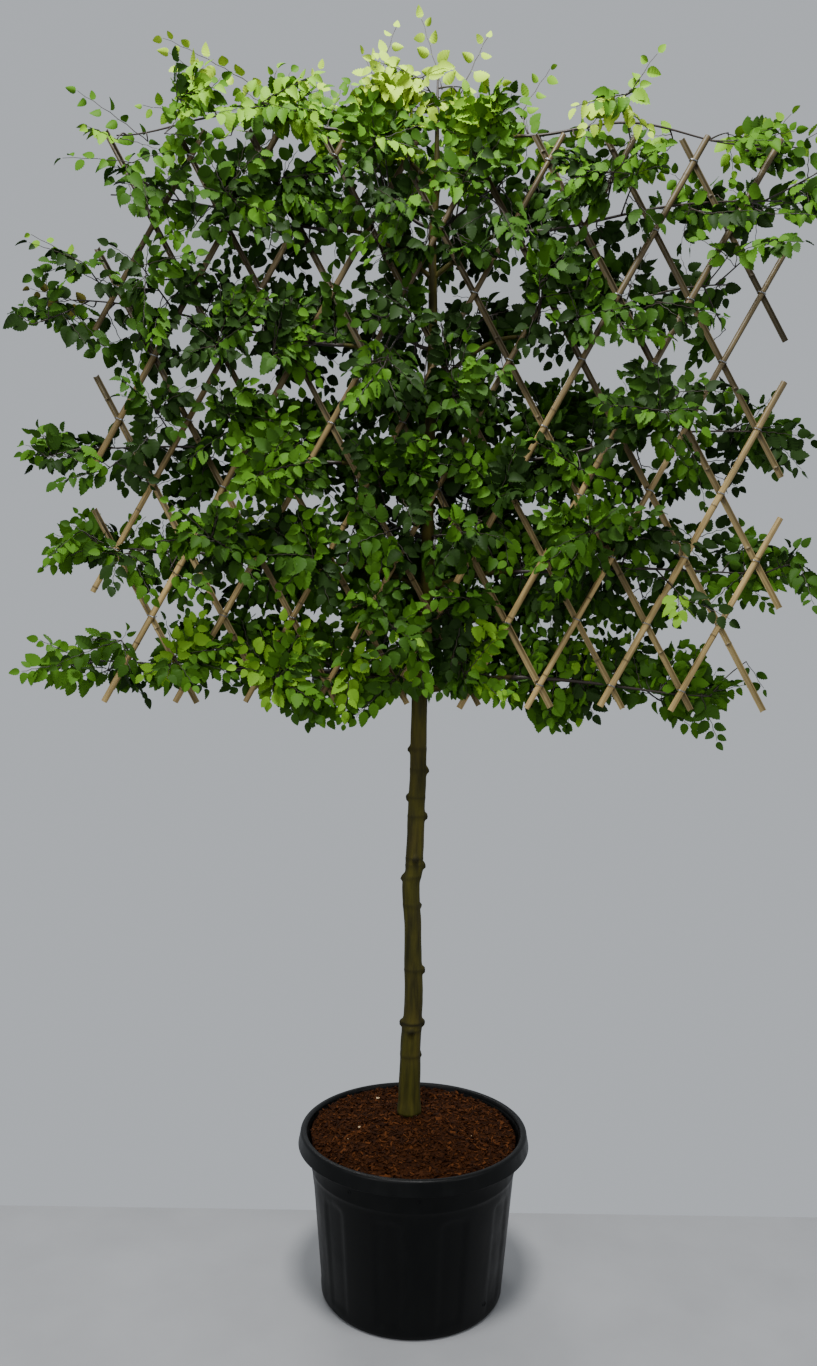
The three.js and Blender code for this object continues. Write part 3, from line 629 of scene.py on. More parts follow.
def wrapped(rings, sides, place):
    """A bmesh of a grid wrapped into a closed tube: place(u, v) gives each point, u along it and v
    round it."""
    bm = bmesh.new()
    made = bmesh.ops.create_grid(bm, x_segments=rings, y_segments=sides, size=0.5)
    for vert in made["verts"]:
        vert.co = place(vert.co.x + 0.5, vert.co.y + 0.5)
    bmesh.ops.remove_doubles(bm, verts=made["verts"], dist=1e-3)
    ends = [edge for edge in bm.edges if edge.is_boundary]
    bmesh.ops.holes_fill(bm, edges=ends, sides=0)
    return bm


def spun(outline, steps):
    """A bmesh spun round the upright axis from an outline of radius and height."""
    bm = bmesh.new()
    verts = [bm.verts.new((radius, 0, z)) for radius, z in outline]
    edges = [bm.edges.new(pair) for pair in zip(verts, verts[1:])]
    bmesh.ops.spin(
        bm, geom=verts + edges, axis=(0, 0, 1), cent=(0, 0, 0), angle=FULL_TURN, steps=steps,
        use_merge=True,
    )
    bmesh.ops.remove_doubles(bm, verts=bm.verts, dist=1e-3)
    return bm


def joined_mesh(name, parts):
    """One mesh in metres from parts in millimetres, each (corners, triangles, material number)."""
    counts = [len(corners) for corners, _, _ in parts]
    starts = np.concatenate(([0], np.cumsum(counts)[:-1]))
    corners = np.concatenate([p[0] for p in parts]) * MM
    triangles = np.concatenate([p[1] + start for p, start in zip(parts, starts)])
    worn = np.concatenate([np.full(len(p[1]), p[2], np.int32) for p in parts])
    mesh = bpy.data.meshes.new(name)
    mesh.from_pydata(corners, [], triangles)
    mesh.polygons.foreach_set("material_index", worn)
    mesh.shade_smooth()
    return mesh


def tube_part(path, radii, sides):
    """A tapering tube along a path as a part in the first material, closed at both ends."""
    path = np.asarray(path, float)
    count = len(path)
    along = np.gradient(path, axis=0)
    along /= np.linalg.norm(along, axis=1, keepdims=True)
    up = np.array([0.3, 0.2, 1.0]) if abs(along[0][Z]) < 0.85 else np.array([1.0, 0.2, 0.1])
    across = np.cross(along, up)
    across /= np.linalg.norm(across, axis=1, keepdims=True)
    third = np.cross(along, across)
    turn = np.arange(sides) * FULL_TURN / sides
    ring = np.cos(turn)[None, :, None] * across[:, None]
    ring = ring + np.sin(turn)[None, :, None] * third[:, None]
    corners = path[:, None] + ring * np.asarray(radii, float)[:, None, None]
    corners = np.concatenate([corners.reshape(-1, 3), path[:1], path[-1:]])
    j, k = np.arange(sides), (np.arange(sides) + 1) % sides
    rows = np.arange(count - 1)[:, None] * sides
    a, b = (rows + j).ravel(), (rows + k).ravel()
    walls = [np.stack([a, b, a + sides], 1), np.stack([b, b + sides, a + sides], 1)]
    last = (count - 1) * sides
    first_cap = np.stack([k, j, np.full(sides, count * sides)], 1)
    last_cap = np.stack([last + j, last + k, np.full(sides, count * sides + 1)], 1)
    return corners, np.concatenate([*walls, first_cap, last_cap]), 0


def stamped(shape, frames, places):
    """Copies of a shape, an array of corners for each, and their triangles. Frames are 3 by 3, with
    the shape's axes in their columns."""
    corners, triangles = shape
    copies = np.einsum("kij,nj->kni", frames, corners) + places[:, None]
    starts = (np.arange(len(places)) * len(corners))[:, None, None]
    return copies, (triangles[None] + starts).reshape(-1, 3)


def blade_edge(t):
    """A leaf's half width at a share of its length, at most about 1."""
    return 2.62 * t**0.55 * (1 - t) ** 0.9


def leaf_shape(fold, curl, twist):
    """A pleated, saw-edged leaf and its stalk, for a blade of unit length and half width. It lies
    along y and faces z."""
    ribs = np.array([0, 0.15, 0.32, 0.5, 0.67, 0.83, 1])
    teeth = np.array([0.26, 0.42, 0.58, 0.74, 0.88])
    dips = np.array([0.08, 0.34, 0.5, 0.66, 0.81, 0.95])
    pleat, wider, narrower, nearer = 0.03, 1.06, 0.94, 0.01
    rows = [(0, t, 0) for t in ribs]
    for side in (1, -1):
        rows += [(side * blade_edge(t) * wider, t, -pleat) for t in teeth]
        rows += [(side * blade_edge(t) * narrower, t - nearer, pleat) for t in dips]
    x, t, z = np.array(rows, float).T
    z = z + np.abs(x) * fold - curl * t * t + twist * x * t
    corners = np.stack([x, t * (1 - 0.25 * abs(curl)), z], 1)
    triangles = []
    for start, flip in ((7, 1), (18, -1)):
        tooth, dip = range(start, start + 5), range(start + 5, start + 11)
        fans = [(0, dip[0], 1), (dip[0], tooth[0], 1)]
        for i in range(1, 5):
            fans += [(i, tooth[i - 1], dip[i]), (i, dip[i], i + 1), (i + 1, dip[i], tooth[i])]
        fans += [(5, tooth[4], dip[5]), (5, dip[5], 6)]
        triangles += [fan[::flip] for fan in fans]
    stalk = [(-0.04, -STALK, 0), (0.04, -STALK, 0), (0, 0.03, 0)]
    triangles.append((len(corners), len(corners) + 1, len(corners) + 2))
    return np.concatenate([corners, stalk]), np.array(triangles)


def grown_masses():
    """Every mass of foliage by name, with its seed, its space and the stem that it grows on."""
    masses = {}
    for side, sign in SIDES:
        for index in range(len(TIER_ROOTS)):
            masses[f"foliage_{side}_{index + 1}"] = outer_mass(index, side, sign)
        for index in range(len(INNER.stems)):
            masses[f"foliage_inner_{side}_{index + 1}"] = inner_mass(index, sign)
    masses["foliage_top"] = top_mass()
    return masses


def arch(root, tip, rise):
    """A stem that leaves its root and reaches its tip level, arched between them."""

    def at(t):
        made = lerp(root, tip, t)
        made[Z] = lerp(root[Z], tip[Z], t * t * (3 - 2 * t)) + rise * math.sin(math.pi * t) ** 2
        return made

    return at


def bough_at(index, side, sign):
    """A bough's centreline and radius from the trunk's side to the start of its mass."""
    root_height, start_height = TIER_ROOTS[index], TIERS[side][index][0]
    thin = 1 - index * CROWN.bough_thinning
    root = trunk_centre(root_height)[X] + sign * trunk_radius(root_height) / 2
    end = CROWN.trunk_line + sign * CROWN.bough_reach

    def radius(t):
        return lerp(CROWN.bough_radius, CROWN.stem_radius, math.sqrt(t)) * thin

    def centre(t):
        behind = LATTICE.back + CROWN.bough_gap + radius(t)
        height = lerp(root_height, start_height, math.sin(t * math.pi / 2))
        return np.array([lerp(root, end, t), behind, height], float)

    return centre, radius


def box_of(x1, x2, low, high):
    """The space between two distances across and two heights, over the crown's depth."""
    return (
        np.array([min(x1, x2), CROWN.front, low], float),
        np.array([max(x1, x2), CROWN.back, high], float),
    )


def outer_mass(index, side, sign):
    """The mass on a bough."""
    _, tip_height, tip_out, ceiling = TIERS[side][index]
    floor = TIERS[side][index - 1][3] if index else CROWN.bottom
    centre, radius = bough_at(index, side, sign)
    root = centre(1) + np.array([sign * LATTICE.clear, 0, 0])
    tip = np.array([sign * (tip_out - SPRAY.length * SPRAY.past_stem), root[Y], tip_height])
    rise = ((floor + ceiling) / 2 - (root[Z] + tip[Z]) / 2) * 0.5
    edge = CROWN.trunk_line + sign * (CROWN.bough_reach + LATTICE.clear / 2)
    return Values(
        seed=100 + index * 2 + (sign > 0), twigs=11, twig_length=230, spray_step=47,
        lean=(-0.1, 0.8), lift=1, sideways=np.array([0, 0, 1.0]), stem=arch(root, tip, rise),
        stem_radius=radius(1), space=box_of(edge, sign * (tip_out + 6), floor + 1, ceiling - 1),
        tip_out=tip_out,
    )


def inner_mass(index, sign):
    """A mass beside the trunk."""
    root_height, tip_height = INNER.stems[index]
    trunk = trunk_centre(root_height)
    root = trunk + np.array([sign * trunk_radius(root_height) / 2, 0, 0])
    tip = np.array([CROWN.trunk_line + sign * INNER.reach, trunk[Y], tip_height])
    edge = CROWN.trunk_line + sign * (CROWN.bough_reach - 1)
    floor, ceiling = INNER.floors[index : index + 2]
    return Values(
        seed=300 + index * 2 + (sign > 0), twigs=15, twig_length=230, spray_step=47,
        lean=(0.1, 0.5), lift=1.2, sideways=np.array([0, 0, 1.0]), stem=arch(root, tip, 0),
        stem_radius=CROWN.stem_radius, tip_out=None,
        space=box_of(edge, CROWN.trunk_line + sign, floor + 1, ceiling - 1),
    )


def top_mass():
    """The mass on the leader."""
    foot = trunk_centre(TRUNK_STATIONS[-1][0])
    root = foot + np.array([0, 0, LATTICE.clear])
    tip = np.array([foot[X], foot[Y], CROWN.top - SPRAY.length * SPRAY.past_stem])
    half, line = CROWN.bough_reach - 1, CROWN.trunk_line
    return Values(
        seed=500, twigs=12, twig_length=270, spray_step=50, lean=(0.1, 0.7), lift=1.5,
        sideways=np.array([1.0, 0, 0]), stem=lambda t: lerp(root, tip, t),
        stem_radius=TRUNK_STATIONS[-1][2], tip_out=None,
        space=box_of(line - half, line + half, INNER.floors[-1] + 1, CROWN.top),
    )


def meets_cane(root, heading, half_width):
    """Whether a twig that heads for the front from behind the lattice would run into a cane."""
    if heading[Y] > -TWIG.forward:
        return False
    across = math.sin(math.atan(LATTICE.steepness))
    for lean, start in ((1, LATTICE.rising_start), (-1, LATTICE.falling_start)):
        depth = BACK_FLAT - lean * LATTICE.thickness / 2
        at = root + heading * ((depth - root[Y]) / heading[Y])
        run = at[X] - start - lean * (at[Z] - LATTICE.bottom) / LATTICE.steepness
        pitches = run / LATTICE.pitch
        if abs(pitches - round(pitches)) * LATTICE.pitch * across < half_width:
            return True
    return False


def grow_mass(mass):
    """Grows one mass by the seeded rule: twigs set round its stem by the golden angle, each with
    sprays on alternate sides and one at its tip. Every twig leads away from the lattice's plane,
    and a spray bends to stay on its side of the lattice and in the mass's space."""
    random = numbers(mass.seed)
    margin = SPRAY.width * SPRAY.edge
    low, high = mass.space[0] + margin, mass.space[1] - margin
    twigs, sprays = [], []

    def spread(reach):
        """The next number, from -reach to reach."""
        return (next(random) - 0.5) * 2 * reach

    def add_spray(root, direction, twig):
        """Adds a spray, unless it would have to be too short to fit."""
        full_size = SPRAY.length * (1 + spread(SPRAY.vary.size))
        direction = unit(direction - np.array([0, 0, SPRAY.droop + spread(SPRAY.vary.droop)]))
        lift, turn = spread(SPRAY.vary.lift), spread(SPRAY.vary.turn)
        behind = root[Y] > BACK_FLAT
        nearest, furthest = low.copy(), high.copy()
        if behind:
            nearest[Y] = LATTICE.back + margin / 2
        else:
            furthest[Y] = BACK_FLAT - LATTICE.thickness - margin / 2
        nearest, furthest = (nearest - root) / full_size, (furthest - root) / full_size
        direction = np.maximum(nearest, np.minimum(furthest, direction))
        share = np.linalg.norm(direction)
        if share < SPRAY.shortest:
            return
        out = SPRAY.face_out if behind else -SPRAY.face_out
        normal = np.array([turn, out, SPRAY.face_up + lift])
        made = Values(root=root, direction=unit(direction), normal=normal, size=full_size * share)
        made.twig, made.behind = twig, behind
        sprays.append(made)

    stem, vary, near = mass.stem, TWIG.vary, 0.02
    for i in range(mass.twigs):
        t = (i + 0.5 + spread(vary.place)) / mass.twigs
        turn = i * GOLDEN_ANGLE + mass.seed + spread(vary.turn)
        away = 1 if i % 2 else -1
        root = stem(t)
        along = unit(stem(t + near) - stem(t - near))
        heading = along * lerp(*mass.lean, t)
        heading += mass.sideways * math.cos(turn) * mass.lift
        heading[Y] += away * (TWIG.outward + TWIG.outward_more * abs(math.sin(turn)))
        heading = unit(heading)
        for _ in range(TWIG.slides):
            if not meets_cane(root, heading, TWIG.lane_half_width):
                break
            root = root + along * TWIG.slide
        room = np.min((np.where(heading > 0, high, low) - root) / heading)
        length = min(room * TWIG.fill, mass.twig_length)
        length *= 1 - vary.length + spread(vary.length)
        tip = root + heading * length
        twigs.append((root, tip))
        count = max(2, math.floor(length / mass.spray_step + 0.5))
        side = unit(np.cross(heading, np.array([0, away * TWIG.face_out, TWIG.face_up])))
        for j in range(count):
            last = j == count - 1
            varied = spread(vary.last_fork if last else vary.fork)
            fork = varied if last else (1 if j % 2 else -1) * (TWIG.fork + varied)
            direction = heading * math.cos(fork) + side * math.sin(fork)
            share = lerp(TWIG.first_spray, TWIG.last_spray, (j + 1) / count)
            add_spray(lerp(root, tip, share), direction, i)
    add_spray(stem(1), unit(stem(1) - stem(1 - 2 * near)), None)
    return twigs, sprays


def stem_height(mass, x):
    """The height of a tier's stem at a distance across."""
    stem = np.array([mass.stem(t) for t in (0, 0.25, 0.5, 0.75, 1)])
    return np.interp(abs(x), np.abs(stem[:, X]), stem[:, Z])


def is_open(mass, x, z):
    """Whether a point lies in an opening of the crown, outside its outline, or off the tapering
    tier that a mass makes round its stem."""
    if not np.interp(x, *zip(*BOTTOM_LINE)) < z < np.interp(x, *zip(*TOP_LINE)):
        return True
    if mass.tip_out:
        half = lerp(*TAPER.halves, smooth(*TAPER.shares, abs(x) / mass.tip_out))
        if abs(z - stem_height(mass, x)) > half:
            return True
    return within(WINDOWS, x, z)


def lets_light_through(x, z):
    """Whether a place lies in one of the small gaps, which are most in the crown's upper middle."""
    share = smooth(*GAPS.foot, z) * (1 - smooth(*GAPS.head, z))
    return noise.noise(Vector((x, z, 0)) / GAPS.size) > GAPS.threshold - GAPS.more * share


def painted_light_tint(at, behind, draw):
    """The number of the leaf colour for a spray: lighter towards the tips and at the foot, painted
    light at the top, where the middle is lightest under the key lamp, and painted shade at the
    top's ends and behind the lattice."""
    height = (at[Z] - CROWN.bottom) / (CROWN.top - CROWN.bottom)
    out = abs(at[X] - CROWN.trunk_line) / PAINTED_LEAF_LIGHT.outermost
    middle = bell((at[X] - PAINTED_LEAF_LIGHT.middle_at) / PAINTED_LEAF_LIGHT.middle_reach)
    # Painted light on the top and most on its middle; painted shade on the top's ends and behind
    # the lattice.
    light = PAINTED_LEAF_LIGHT.least + PAINTED_LEAF_LIGHT.top * smooth(*PAINTED_LEAF_LIGHT.top_from, height)
    light += PAINTED_LEAF_LIGHT.foot * (1 - height) ** 3 + PAINTED_LEAF_LIGHT.outside * out
    light += PAINTED_LEAF_LIGHT.middle * middle * smooth(*PAINTED_LEAF_LIGHT.middle_from, height)
    light += PAINTED_LEAF_LIGHT.ends * (1 - middle) * smooth(*PAINTED_LEAF_LIGHT.ends_from, height)
    light += PAINTED_LEAF_LIGHT.chance * (draw - 0.5) + PAINTED_LEAF_LIGHT.behind * behind
    return int(np.searchsorted(TINT_STEPS, light))


def wanted_layers(mass, x, z, in_front):
    """How many layers of leaves grow over a place: most in the lower middle of the crown, in clumps
    and along the stem of a tier, and fewer before the lattice and at the crown's ends."""
    core = math.exp(-((abs(x - LAYERS.core_at) / LAYERS.core_reach) ** 4))
    if in_front:
        left = 1 - LAYERS.fewer_right * smooth(*LAYERS.right, x)
        return core * left * (LAYERS.before + LAYERS.before_high * smooth(*LAYERS.high, z))
    low = 1 - smooth(*LAYERS.upper, z)
    layers = LAYERS.behind + LAYERS.in_clump * within(CLUMPS, x, z)
    layers += core * (LAYERS.core + LAYERS.core_low * low)
    if mass.tip_out:
        off_stem = smooth(*LAYERS.off_stem, abs(z - stem_height(mass, x)))
        layers += LAYERS.by_stem * (1 - off_stem) * (1 - core)
    return layers * (1 - smooth(*LAYERS.ends, abs(x)))


def front_share(x, z):
    """The share of the sprays before the lattice that are kept: fewest at the lower right."""
    low = 1 - smooth(*LEFT_OUT.upper, z)
    return 1 - low * (LEFT_OUT.low + LEFT_OUT.low_right * smooth(*LEFT_OUT.right, x))


def press(corners, bases):
    """Flattens the leaves that would reach into the lattice, from their bases on."""
    depth = corners[..., Y]
    behind = bases > BACK_FLAT
    limit = np.where(behind, BACK_LIMIT, FRONT_LIMIT)
    nearest = np.where(behind, depth.min(1), depth.max(1))
    over = np.where(behind, nearest < limit, nearest > limit)
    share = np.where(over, (limit - bases) / np.where(over, nearest - bases, 1), 1)
    share = np.clip(share, 0.1, 1)[:, None]
    corners[..., Y] = bases[:, None] + (depth - bases[:, None]) * share


class Foliage:
    """Gathers the leaves and wood of one mass."""

    def __init__(self, mass):
        self.mass = mass
        self.random = np.random.default_rng(mass.seed)
        self.wood = []
        self.leaves = []
        self.limbs = []
        self.shoots = []

    def add_stem(self):
        """Adds the stem that the mass grows on."""
        steps = np.linspace(0, 1, CROWN.stem_points)
        radii = lerp(self.mass.stem_radius, CROWN.stem_tip_radius / 2, steps) * CROWN.stem_slimness
        path = np.array([self.mass.stem(t) for t in steps])
        self.wood.append(tube_part(path, radii, sides=8))
        self.limbs.append(path)

    def bent(self, root, tip, count, bend):
        """A path of points between two places, bent by chance, and how far along each lies."""
        steps = np.linspace(0, 1, count)
        bends = np.outer(np.sin(steps * math.pi), self.random.normal(0, bend, 3))
        return lerp(root[None], tip[None], steps[:, None]) + bends, steps

    def add_shoot(self, root, direction, normal, size, tint, leaf_scale=1.0, leader=False):
        """A zigzag shoot with leaves in two rows and one at its tip."""
        random = self.random
        spacing = LEADER.spacing if leader else sizes().leaf_spacing / MM
        count = max(SHOOT.fewest, round(size / spacing))
        blade = sizes().leaf_length / MM
        side = unit(np.cross(direction, normal))
        face = unit(np.cross(side, direction))
        reach = size - blade * GROWTH.tip * leaf_scale
        steps = (np.arange(count) + GROWTH.first) / count
        zigzag = np.where(np.arange(count) % 2, 1.0, -1.0)
        sag = np.array([0, 0, -SHOOT.sag * size])
        path = root + np.outer(steps * reach, direction) + np.outer(steps**2, sag)
        path += np.outer(zigzag * SHOOT.zigzag, side)
        path = np.concatenate([[root], path])
        self.wood.append(tube_part(path, np.linspace(*SHOOT.radii, len(path)), sides=4))
        self.shoots.append(path)
        for k, base in enumerate(path[1:]):
            last = k == count - 1
            fork = random.normal(*(SHOOT.last_fork if last else SHOOT.fork))
            angle = fork if last else zigzag[k] * fork
            along = direction * math.cos(angle) + side * math.sin(angle)
            along = along + face * random.normal(*SHOOT.lift)
            along += np.array([0, 0, -SHOOT.hang[0] - SHOOT.hang[1] * random.random()])
            roll, pitch = random.normal(*SHOOT.roll), random.normal(*SHOOT.pitch)
            tilt = face + side * roll + direction * pitch
            grown = GROWTH.young + GROWTH.more * math.sin(math.pi * min(1, steps[k] + GROWTH.early))
            grown *= leaf_scale * min(GROWTH.most, max(GROWTH.least, random.normal(*SHOOT.size)))
            middle = base + unit(along) * blade * 0.6
            if not leader and lets_light_through(middle[X], middle[Z]):
                continue
            if not FRONT_LIMIT < base[Y] < BACK_LIMIT:
                self.leaves.append((base, unit(along), unit(tilt), grown, tint))

    def leaf_parts(self, shapes):
        """Every leaf as parts, one for each shape and colour."""
        bases, along, face, lengths, tints = map(np.array, zip(*self.leaves))
        across = np.cross(along, face)
        across /= np.linalg.norm(across, axis=1, keepdims=True)
        face = np.cross(across, along)
        long = (sizes().leaf_length / MM * lengths)[:, None]
        wide = (sizes().leaf_width / MM / 2 * lengths)[:, None]
        frames = np.stack([across * wide, along * long, face * long], 2)
        places = bases + along * long * STALK
        kinds = self.random.integers(len(shapes), size=len(lengths))
        parts = []
        for kind, shape in enumerate(shapes):
            for tint in np.unique(tints):
                chosen = (kinds == kind) & (tints == tint)
                if chosen.any():
                    corners, triangles = stamped(shape, frames[chosen], places[chosen])
                    press(corners, bases[chosen][:, Y])
                    parts.append((corners.reshape(-1, 3), triangles, int(tint)))
        return parts

    def add_sprays(self):
        """Adds the rule's sprays that the crown's openings leave, and the twigs that carry them."""
        twigs, sprays = grow_mass(self.mass)
        reached = {}
        for spray in sprays:
            middle = spray.root + spray.direction * spray.size / 2
            far = spray.root + spray.direction * spray.size * SPRAY.far
            if any(is_open(self.mass, at[X], at[Z]) for at in (middle, far)):
                continue
            if not spray.behind and self.random.random() > front_share(*middle[[X, Z]]):
                continue
            tint = painted_light_tint(middle, spray.behind, self.random.random())
            self.add_shoot(spray.root, spray.direction, spray.normal, spray.size, tint)
            reached[spray.twig] = spray.root
        for i, (root, _) in enumerate(twigs):
            if i in reached:
                path, steps = self.bent(root, reached[i], count=9, bend=3)
                self.wood.append(tube_part(path, lerp(*TWIG.radii, steps), sides=6))
                self.limbs.append(path[2:])

    def fill(self):
        """Adds shoots from the nearest limb towards each cell that is still bare."""
        low, high = self.mass.space
        across, up = (np.arange(low[a] + FILL.cell / 2, high[a], FILL.cell) for a in (X, Z))
        cells = np.array([(x, z) for x in across for z in up if not is_open(self.mass, x, z)])
        for in_front in (True, False):
            self.add_layers(cells, in_front)

    def add_layers(self, cells, in_front):
        """Fills the cells from the limbs before the lattice, or from all of them."""
        limbs = np.concatenate(self.limbs)
        layers = np.zeros(len(cells))
        for path in self.shoots:
            if not in_front or path[-1, Y] < FRONT_LIMIT:
                layers += self.covers(path, cells)
        before, after = limbs[:, Y] < FRONT_LIMIT, limbs[:, Y] > BACK_LIMIT
        limbs = limbs[before if in_front else before | after]
        wanted = np.array([wanted_layers(self.mass, x, z, in_front) for x, z in cells])
        wanted = np.floor(wanted + self.random.random(len(cells)))
        for _ in range(FILL.passes):
            for i in self.random.permutation(len(cells)):
                if layers[i] < wanted[i] and self.reach_for(cells[i], limbs):
                    layers += self.covers(self.shoots[-1], cells)

    def covers(self, path, cells):
        """Which cells a shoot's leaves cover."""
        gaps = path[None, :, (X, Z)] - cells[:, None]
        return np.min(np.hypot(gaps[..., 0], gaps[..., 1]), 1) < FILL.half_width

    def reach_for(self, cell, limbs):
        """Grows a shoot from one of the nearer limbs over a cell. Says whether there is one."""
        random = self.random
        low, high = self.mass.space
        gaps = np.hypot(limbs[:, X] - cell[0], limbs[:, Z] - cell[1])
        near = np.flatnonzero((gaps > FILL.nearest) & (gaps < FILL.furthest))
        if not len(near):
            return False
        chosen = near[np.argsort(gaps[near])[: 1 + random.integers(FILL.choices)][-1]]
        root = limbs[chosen]
        out = 1 if root[Y] > BACK_FLAT else -1
        depth = root[Y] + out * random.uniform(*FILL.depths)
        direction = unit(np.array([cell[0], depth, cell[1]]) - root)
        size = min(gaps[chosen] + FILL.overshoot, FILL.longest)
        edges = np.where(direction > 0, high + FILL.beyond, low - FILL.beyond)
        size = min(size, np.min((edges - root) / direction))
        if size < FILL.shortest:
            return False
        turn, lift = random.normal(0, FILL.turn), random.normal(0, FILL.lift)
        normal = np.array([turn, SPRAY.face_out * out, SPRAY.face_up + lift])
        tint = painted_light_tint(root, out > 0, random.random())
        self.add_shoot(root, direction, normal, size, tint, FILL.leaf_scale)
        return True

    def add_leader(self, foot, tip, tint):
        """A long young shoot with few leaves, and the bare wood that leads to it from a limb."""
        limbs = np.concatenate(self.limbs)
        base = limbs[np.argmin(np.hypot(limbs[:, X] - foot[0], limbs[:, Z] - foot[1]))]
        out = 1 if base[Y] > BACK_FLAT else -1
        root = np.array([foot[0], base[Y] + out * LEADER.foot_out, foot[1]], float)
        end = np.array([tip[0], root[Y] + out * LEADER.tip_out, tip[1]], float)
        path, steps = self.bent(base, root, count=7, bend=4)
        self.wood.append(tube_part(path, lerp(*LEADER.radii, steps), sides=6))
        size = np.linalg.norm(end - root)
        normal = np.array([0, LEADER.face_out * out, LEADER.face_up])
        self.add_shoot(root, unit(end - root), normal, size, tint, LEADER.leaf_scale, leader=True)


class HORNBEAM_OT_foliage(bpy.types.Operator):
    """Grow each mass of foliage from its stem: twigs, shoots, stalks and leaves"""

    bl_idname = "hornbeam.foliage"
    bl_label = "Grow foliage"

    def execute(self, context):
        leaf_looks, wood_looks = leaf_materials(), [shoot_material()]
        shapes = [leaf_shape(*bends) for bends in LEAF_BENDS]
        for name, mass in grown_masses().items():
            foliage = Foliage(mass)
            foliage.add_stem()
            foliage.add_sprays()
            foliage.fill()
            for foot, tip, tint in LEADERS.get(name, ()):
                foliage.add_leader(foot, tip, tint)
            leaves = joined_mesh(f"{name}_leaves", foliage.leaf_parts(shapes))
            link_piece(f"{name}_leaves", leaves, leaf_looks, [name])
            wood = joined_mesh(f"{name}_twigs", foliage.wood)
            link_piece(f"{name}_twigs", wood, wood_looks, [name])
        return {"FINISHED"}


class HORNBEAM_OT_trunk(bpy.types.Operator):
    """Model the trunk with its bends, healed collars and the relief of its bark"""

    bl_idname = "hornbeam.trunk"
    bl_label = "Model trunk"

    def execute(self, context):
        low, high = (corner[Z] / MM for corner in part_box("trunk"))
        bm = wrapped(
            BARK.rings, BARK.sides, lambda u, v: self.place(lerp(low, high, u), v * FULL_TURN)
        )
        scars = bm.verts.layers.float.new("scar")
        for vert in bm.verts:
            centre = trunk_centre(vert.co.z)
            turn = math.atan2(vert.co.y - centre[Y], vert.co.x - centre[X])
            vert[scars] = self.scar(vert.co.z, turn)
        mesh = finished_mesh("trunk_bark", bm)
        link_piece("trunk_bark", mesh, [bark_material()], ["trunk"])
        return {"FINISHED"}

    def place(self, z, turn):
        """A point of the bark at a height and an angle round the stem."""
        centre, radius = trunk_centre(z), trunk_radius(z)
        out = radius * BARK.thicker + self.collar_height(z, turn, radius)
        flutes = noise.noise(on_circle(turn, z / BARK.flute_length) * BARK.flutes)
        circle = on_circle(turn, z / BARK.grain_length / BARK.grains) * BARK.grains
        out += flutes * BARK.flute * radius + noise.noise(circle) * BARK.grain
        out += sum(BARK.ring * bell((z - at) / BARK.ring_reach) for at, _, _ in COLLARS)
        return centre + np.array([math.cos(turn) * out, math.sin(turn) * out, 0])

    def collar_height(self, z, turn, radius):
        """How far the collars' healed rims stand out of the stem, with a dip in the middle."""
        out = 0
        for collar in COLLARS:
            away = self.away(collar, z, turn, radius)
            if away < BARK.collar_reach:
                rim = math.exp(-((away - BARK.rim_at) ** 2) * BARK.rim_tightness)
                dip = math.exp(-(away**2) * BARK.dip_tightness)
                out += collar[2] * (BARK.rim * rim - BARK.dip * dip)
        return out

    def away(self, collar, z, turn, radius):
        """The distance over the bark from a collar's middle, in its own radius."""
        height, degrees, size = collar
        round_by = (turn - math.radians(degrees) + math.pi) % FULL_TURN - math.pi
        return math.hypot((z - height) / BARK.collar_height, round_by * radius) / size

    def scar(self, z, turn):
        """How dark the bark is: at the middle of each collar and in a ring at its height."""
        dark = 0
        for collar in COLLARS:
            wobble = BARK.wobble * noise.noise(on_circle(turn, z / BARK.wobble_length))
            dark += BARK.dark_ring * bell((z - collar[0] + wobble) / BARK.dark_ring_reach)
            away = self.away(collar, z, turn, BARK.usual_radius)
            dark += BARK.scar * bell(away / BARK.scar_reach)
        return min(1, dark)


class HORNBEAM_OT_boughs(bpy.types.Operator):
    """Model the boughs as knotty tapering limbs on the back of the lattice"""

    bl_idname = "hornbeam.boughs"
    bl_label = "Model boughs"

    def execute(self, context):
        bark = bpy.data.materials.get("hornbeam_bark") or bark_material()
        for side, sign in SIDES:
            for index in range(len(TIER_ROOTS)):
                name = f"bough_{side}_{index + 1}"
                bm = wrapped(BOUGH.rings, BOUGH.sides, self.placer(index, side, sign))
                mesh = finished_mesh(f"{name}_bark", bm)
                link_piece(f"{name}_bark", mesh, [bark], [name])
        return {"FINISHED"}

    def placer(self, index, side, sign):
        """A function that places the points of one bough."""
        centre, radius = bough_at(index, side, sign)
        knots = [at + shift * index for at, shift in BOUGH.knots]
        near = 1e-3

        def place(u, v):
            along = unit(centre(min(u + near, 1)) - centre(max(u - near, 0)))
            across = unit(np.cross(along, [0, 0, 1.0]))
            third = np.cross(across, along)
            turn = v * FULL_TURN
            swell = sum(BOUGH.knot * bell((u - knot) / BOUGH.knot_reach) for knot in knots)
            ripple = BOUGH.ripple * noise.noise(on_circle(turn, u * BOUGH.ripples + index))
            out = radius(u) * (BOUGH.drawn + swell + ripple)
            return centre(u) + (across * math.cos(turn) + third * math.sin(turn)) * out

        return place


